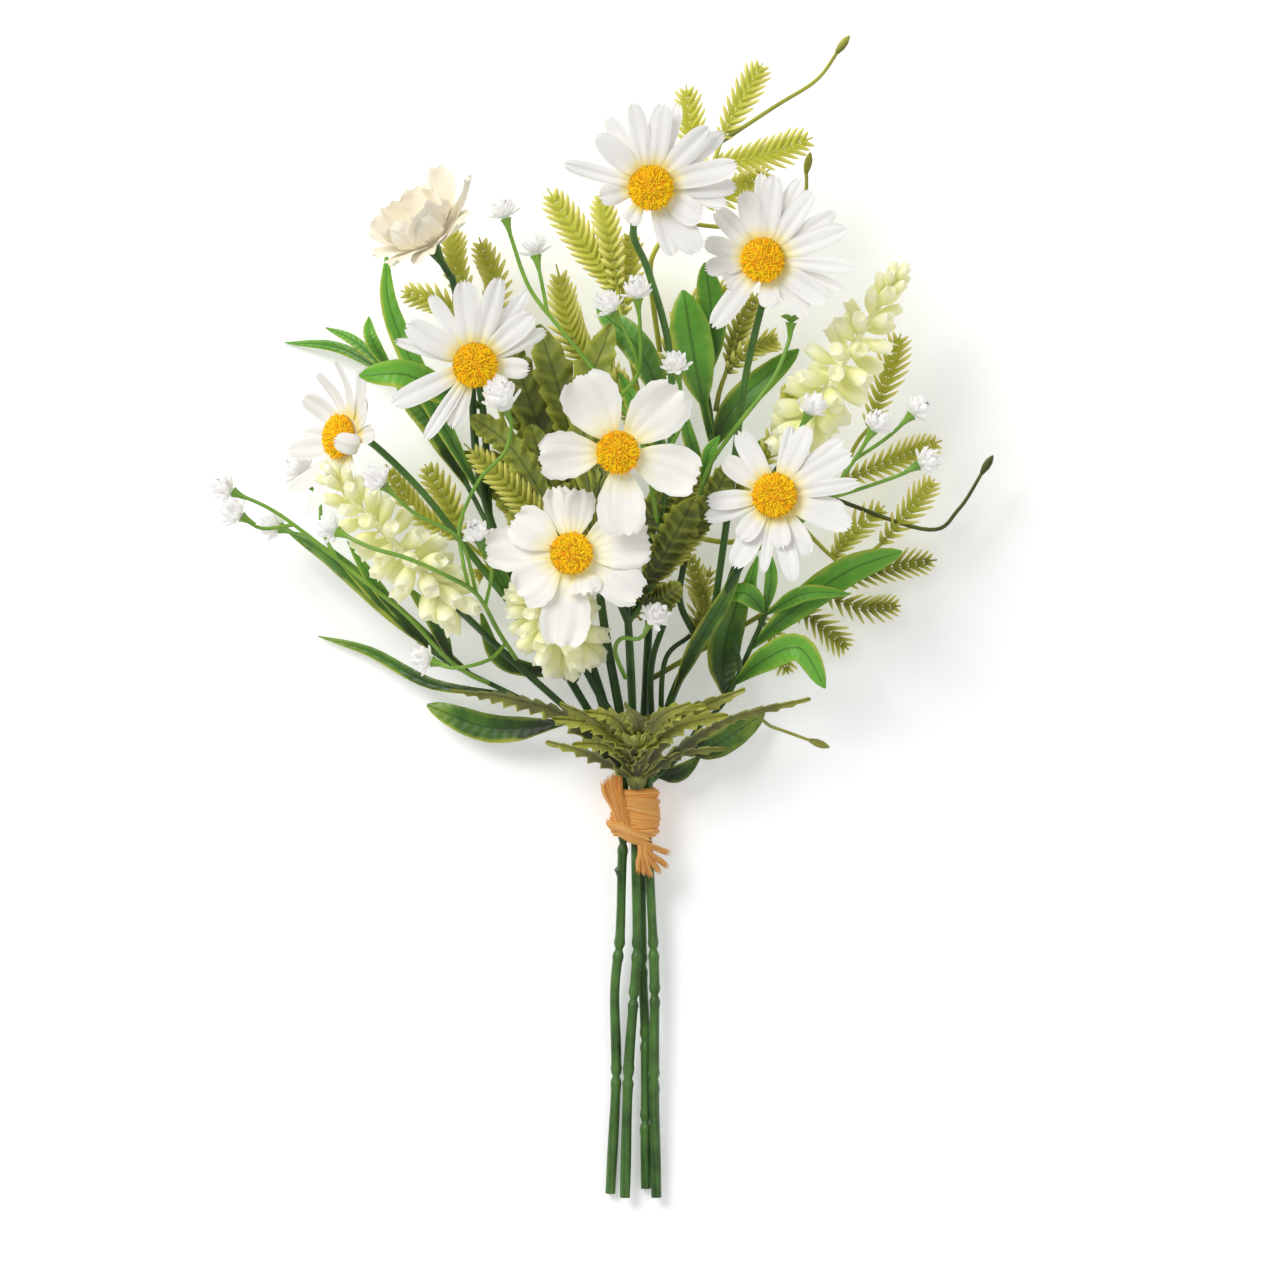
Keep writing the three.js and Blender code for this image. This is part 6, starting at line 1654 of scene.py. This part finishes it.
class DAISY_OT_discs(bpy.types.Operator):
    """Covers the domed middle of each bloom in florets"""

    bl_idname = "daisy.discs"
    bl_label = "Discs"

    def execute(self, context):
        material = disc_material("disc_flock", *tones("disc_yellow", "disc_orange", "disc_olive_and_gap_shade"))
        for blooms, disc, count, offset in (
            (DAISIES, DAISY_DISC, sizes().daisy_florets, 10),
            (COSMOS, COSMOS_DISC, sizes().cosmos_florets, 20),
        ):
            for i, (name, bloom) in enumerate(blooms.items()):
                make_disc(name, bloom, disc, count, sizes().floret / MM, material, draws(offset + i))
        make_disc("cream_bloom", CREAM_BLOOM, CREAM_DISC, CREAM_FLORETS, CREAM_FLORET, material, draws(30))
        return {"FINISHED"}


class DAISY_OT_bells(bpy.types.Operator):
    """Makes the three spikes of hanging bells"""

    bl_idname = "daisy.bells"
    bl_label = "Bell spikes"

    def execute(self, context):
        material = bells_material("bell_wax", *tones("bell_cream", "bell_green"))
        for i, (name, spike) in enumerate(SPIKES.items()):
            shells = Shells()
            add_bells(shells, spike, sizes().bells, draws(40 + i))
            place_piece(f"{name}_spike", shells, material, [name])
        return {"FINISHED"}


class DAISY_OT_ferns(bpy.types.Operator):
    """Makes the fern sprays with their stems, fronds, tendrils and buds"""

    bl_idname = "daisy.ferns"
    bl_label = "Fern sprays"

    def execute(self, context):
        material = fern_material("fern_plastic", *tones("fern_dark", "fern_fresh", "fern_pale"))
        dice = draws(50)
        spacing = sizes().leaflet_spacing / MM
        thin = 0.7 * FERN_STEM_RADIUS
        for name, (fern, parent_radius) in FERNS.items():
            shells = Shells()
            shade, full = FERN_LOOKS[name]
            stem = Route(fern["stem"])
            if "on" in fern:
                stem = beside(ROUTES[fern["on"]], parent_radius, FERN_STEM_RADIUS, fern["stem"])
            shells.rod(stem, FERN_STEM_RADIUS, thin, 8, 3.0, None, 0.5 * shade)
            carriers = [(stem, fern["fronds"])]
            if "side" in fern:
                side = branch_of(stem, fern["side"])
                shells.rod(side, 0.8 * FERN_STEM_RADIUS, thin, 8, 3.0, None, 0.5 * shade)
                carriers.append((side, fern["sideFronds"]))
            for carrier, fronds in carriers:
                for places, half in fronds:
                    bright = min(1, shade * dice.uniform(0.85, 1.15))
                    add_frond(shells, branch_of(carrier, places), half, dice, bright, spacing, full)
            for places in fern.get("tendrils", ()):
                dim = TENDRIL_SHADES[name]
                add_tendril(shells, branch_of(stem, places), 0.7, 0.55, dim, dim + 0.05)
            if name == "fern_mid":
                for key, places, half, dark in FILL_FRONDS:
                    add_frond(shells, branch_of(ROUTES[key], places), half, dice, dark, spacing, full)
            place_piece(f"{name}_spray", shells, material, [name])
        return {"FINISHED"}


class DAISY_OT_whorl(bpy.types.Operator):
    """Makes the whorl of toothed olive leaves over the tie"""

    bl_idname = "daisy.whorl"
    bl_label = "Leaf whorl"

    def execute(self, context):
        tints = tones("whorl_dark", "whorl_fresh", "leaf_edge")
        material = leaf_material("whorl_plastic", *tints, 11, 0.42, 0.04)
        dice = draws(60)
        shells = Shells()
        wide, _, high = WHORL_HUB["half"]
        hub = Vector(WHORL_HUB["at"])
        outline = [(share, wide * out) for share, out in HUB_OUTLINE]
        shells.spindle(Route([hub - UP * high, hub + UP * high]), outline, 12, 0.2, RIGHT)
        for places, half in WHORL_LEAVES:
            route = Route(places)
            teeth = max(5, round(route.length() / WHORL_TOOTH))
            add_saw_leaf(shells, route, 0.85 * half, teeth, dice, dice.uniform(0.15, 0.75), PLAIN_BLADE, 0.34,
                         dice.uniform(0.35, 0.6), 0.1, Vector((0, -0.7, 0.7)))
        for places, half in WHORL_INNER_LEAVES:
            shade = dice.uniform(0.7, 1)
            add_saw_leaf(shells, Route(places), half, 6, dice, shade, PLAIN_BLADE, 0.5, 0.5, 0.08)
        add_funnel(shells, hub, dice)
        add_tendril(shells, Route(WHORL_TENDRIL), 0.6, 0.5, 0.4, 0.6)
        place_piece("leaf_whorl_blades", shells, material, ["leaf_whorl"])
        return {"FINISHED"}


class DAISY_OT_twigs(bpy.types.Operator):
    """Makes the thin bright twigs that carry the spiky heads"""

    bl_idname = "daisy.twigs"
    bl_label = "Twigs"

    def execute(self, context):
        material = stem_material("twig_plastic", *tones("twig_dark", "twig_fresh"), 0.35)
        for name, (twig, parent_radius) in TWIGS.items():
            shells = Shells()
            routes = twig_routes(twig, parent_radius)
            shells.rod(routes[0], TWIG_RADIUS, 0.8 * TWIG_RADIUS, 8, 2.2)
            for route in routes[1:]:
                shells.rod(route, 0.8 * TWIG_RADIUS, 0.75 * TWIG_RADIUS, 8, 2.2)
            for route in routes:
                end, along = route.point(1), route.tangent(1)
                shells.spindle(Route([end - along * 5, end - along * 0.05]), CUP_OUTLINE, 8)
            if not twig["heads"]:
                for way in (-1, 1):
                    bend, tip = Vector((way, 0, 0.4)), Vector((3.2 * way, 0, 0))
                    sepal = Route([end, end + along * 1.5 + bend, end + along * 2 + tip])
                    add_leaf(shells, sepal, 0.8, random.Random(0), 0.5)
            place_piece(f"{name}_rods", shells, material, [name])
        return {"FINISHED"}


class DAISY_OT_heads(bpy.types.Operator):
    """Makes the nineteen small spiky white heads"""

    bl_idname = "daisy.heads"
    bl_label = "Spiky heads"

    def execute(self, context):
        material = head_material("head_plastic", *tones("head", "head_green", "head_blush"))
        for twig, parent_radius in TWIGS.values():
            for name, route in zip(twig["heads"], twig_routes(twig, parent_radius)):
                shells = Shells()
                radius, spike = BIG_HEAD if name == "head_09" else (HEAD_RADIUS, HEAD_SPIKE)
                add_head(shells, route.point(1), route.tangent(1), radius, spike, draws(int(name[-2:])))
                place_piece(f"{name}_petals", shells, material, [name])
        return {"FINISHED"}


class DAISY_OT_raffia(bpy.types.Operator):
    """Makes the raffia that is wound round the stems and knotted in front"""

    bl_idname = "daisy.raffia"
    bl_label = "Raffia tie"

    def execute(self, context):
        material = raffia_material("raffia_fibre", *tones("raffia", "raffia_dark", "raffia_pale"))
        dice = draws(70)
        size = sizes().raffia_width / MM
        shells = Shells()
        for place, turn, extra in RAFFIA_WRAPS:
            route, facing = wrap_route(place, turn, extra)
            add_ribbon(shells, route, dice.uniform(0.6, 0.85) * size, 0.4, dice, facing, 72)
        for places, width in RAFFIA_STRANDS:
            add_ribbon(shells, Route(places), width, 0.5, dice, UP, 24)
        place_piece("raffia_strips", shells, material, ["raffia_tie"])
        return {"FINISHED"}


class DAISY_OT_stage(bpy.types.Operator):
    """Sets the pale floor, the soft light and the camera that looks straight down"""

    bl_idname = "daisy.stage"
    bl_label = "Stage"

    def execute(self, context):
        scene = context.scene
        bm = bmesh.new()
        bmesh.ops.create_grid(bm, x_segments=1, y_segments=1, size=FLOOR_HALF)
        mesh = bpy.data.meshes.new("floor")
        bm.to_mesh(mesh)
        bm.free()
        mesh.materials.append(floor_material("floor_paper", *tones("floor")))
        floor = bpy.data.objects.new("floor", mesh)
        floor.location.z = FLOOR_HEIGHT
        scene.collection.objects.link(floor)

        low, high = (Vector(corner) for corner in CAD_BOX)
        middle = (low + high) / 2
        for name, place, size, power in LIGHTS:
            light = bpy.data.lights.new(name, "AREA")
            light.size = size
            light.energy = power
            lamp = bpy.data.objects.new(name, light)
            lamp.location = middle + Vector(place)
            lamp.rotation_euler = Vector(place).to_track_quat("Z", "Y").to_euler()
            scene.collection.objects.link(lamp)
        world = bpy.data.worlds.new("studio")
        world.use_nodes = True
        world.node_tree.nodes["Background"].inputs["Color"].default_value = (1, 1, 1, 1)
        world.node_tree.nodes["Background"].inputs["Strength"].default_value = SKY_STRENGTH
        scene.world = world
        scene.view_settings.view_transform = "Standard"

        view = bpy.data.cameras.new("camera")
        view.lens = LENS
        view.sensor_width = SENSOR_WIDTH
        view.clip_end = 20
        camera = bpy.data.objects.new("camera", view)
        camera.location = (CAMERA_AIM + SHIFT) * MM + UP * CAMERA_HEIGHT
        scene.collection.objects.link(camera)
        scene.camera = camera
        return {"FINISHED"}


STEPS = (DAISY_OT_stems, DAISY_OT_leaves, DAISY_OT_petals, DAISY_OT_cosmos, DAISY_OT_cream, DAISY_OT_discs,
         DAISY_OT_bells, DAISY_OT_ferns, DAISY_OT_whorl, DAISY_OT_twigs, DAISY_OT_heads, DAISY_OT_raffia,
         DAISY_OT_stage)


class DAISY_PT_panel(bpy.types.Panel):
    """Lists the steps that dress the bunch, with its sizes and colours"""

    bl_label = "Daisy bunch"
    bl_idname = "DAISY_PT_panel"
    bl_space_type = "VIEW_3D"
    bl_region_type = "UI"
    bl_category = "Daisies"

    def draw(self, context):
        for step in STEPS:
            self.layout.operator(step.bl_idname)
        for group in (context.scene.daisy_sizes, context.scene.daisy_colours):
            box = self.layout.box()
            for name in type(group).__annotations__:
                box.prop(group, name)


CLASSES = (DaisySizes, DaisyColours, *STEPS, DAISY_PT_panel)


def register():
    for cls in CLASSES:
        bpy.utils.register_class(cls)
    bpy.types.Scene.daisy_sizes = PointerProperty(type=DaisySizes)
    bpy.types.Scene.daisy_colours = PointerProperty(type=DaisyColours)


def unregister():
    del bpy.types.Scene.daisy_colours
    del bpy.types.Scene.daisy_sizes
    for cls in reversed(CLASSES):
        bpy.utils.unregister_class(cls)


def main():
    register()
    for step in STEPS:
        family, name = step.bl_idname.split(".")
        getattr(getattr(bpy.ops, family), name)()


if __name__ == "__main__":
    main()
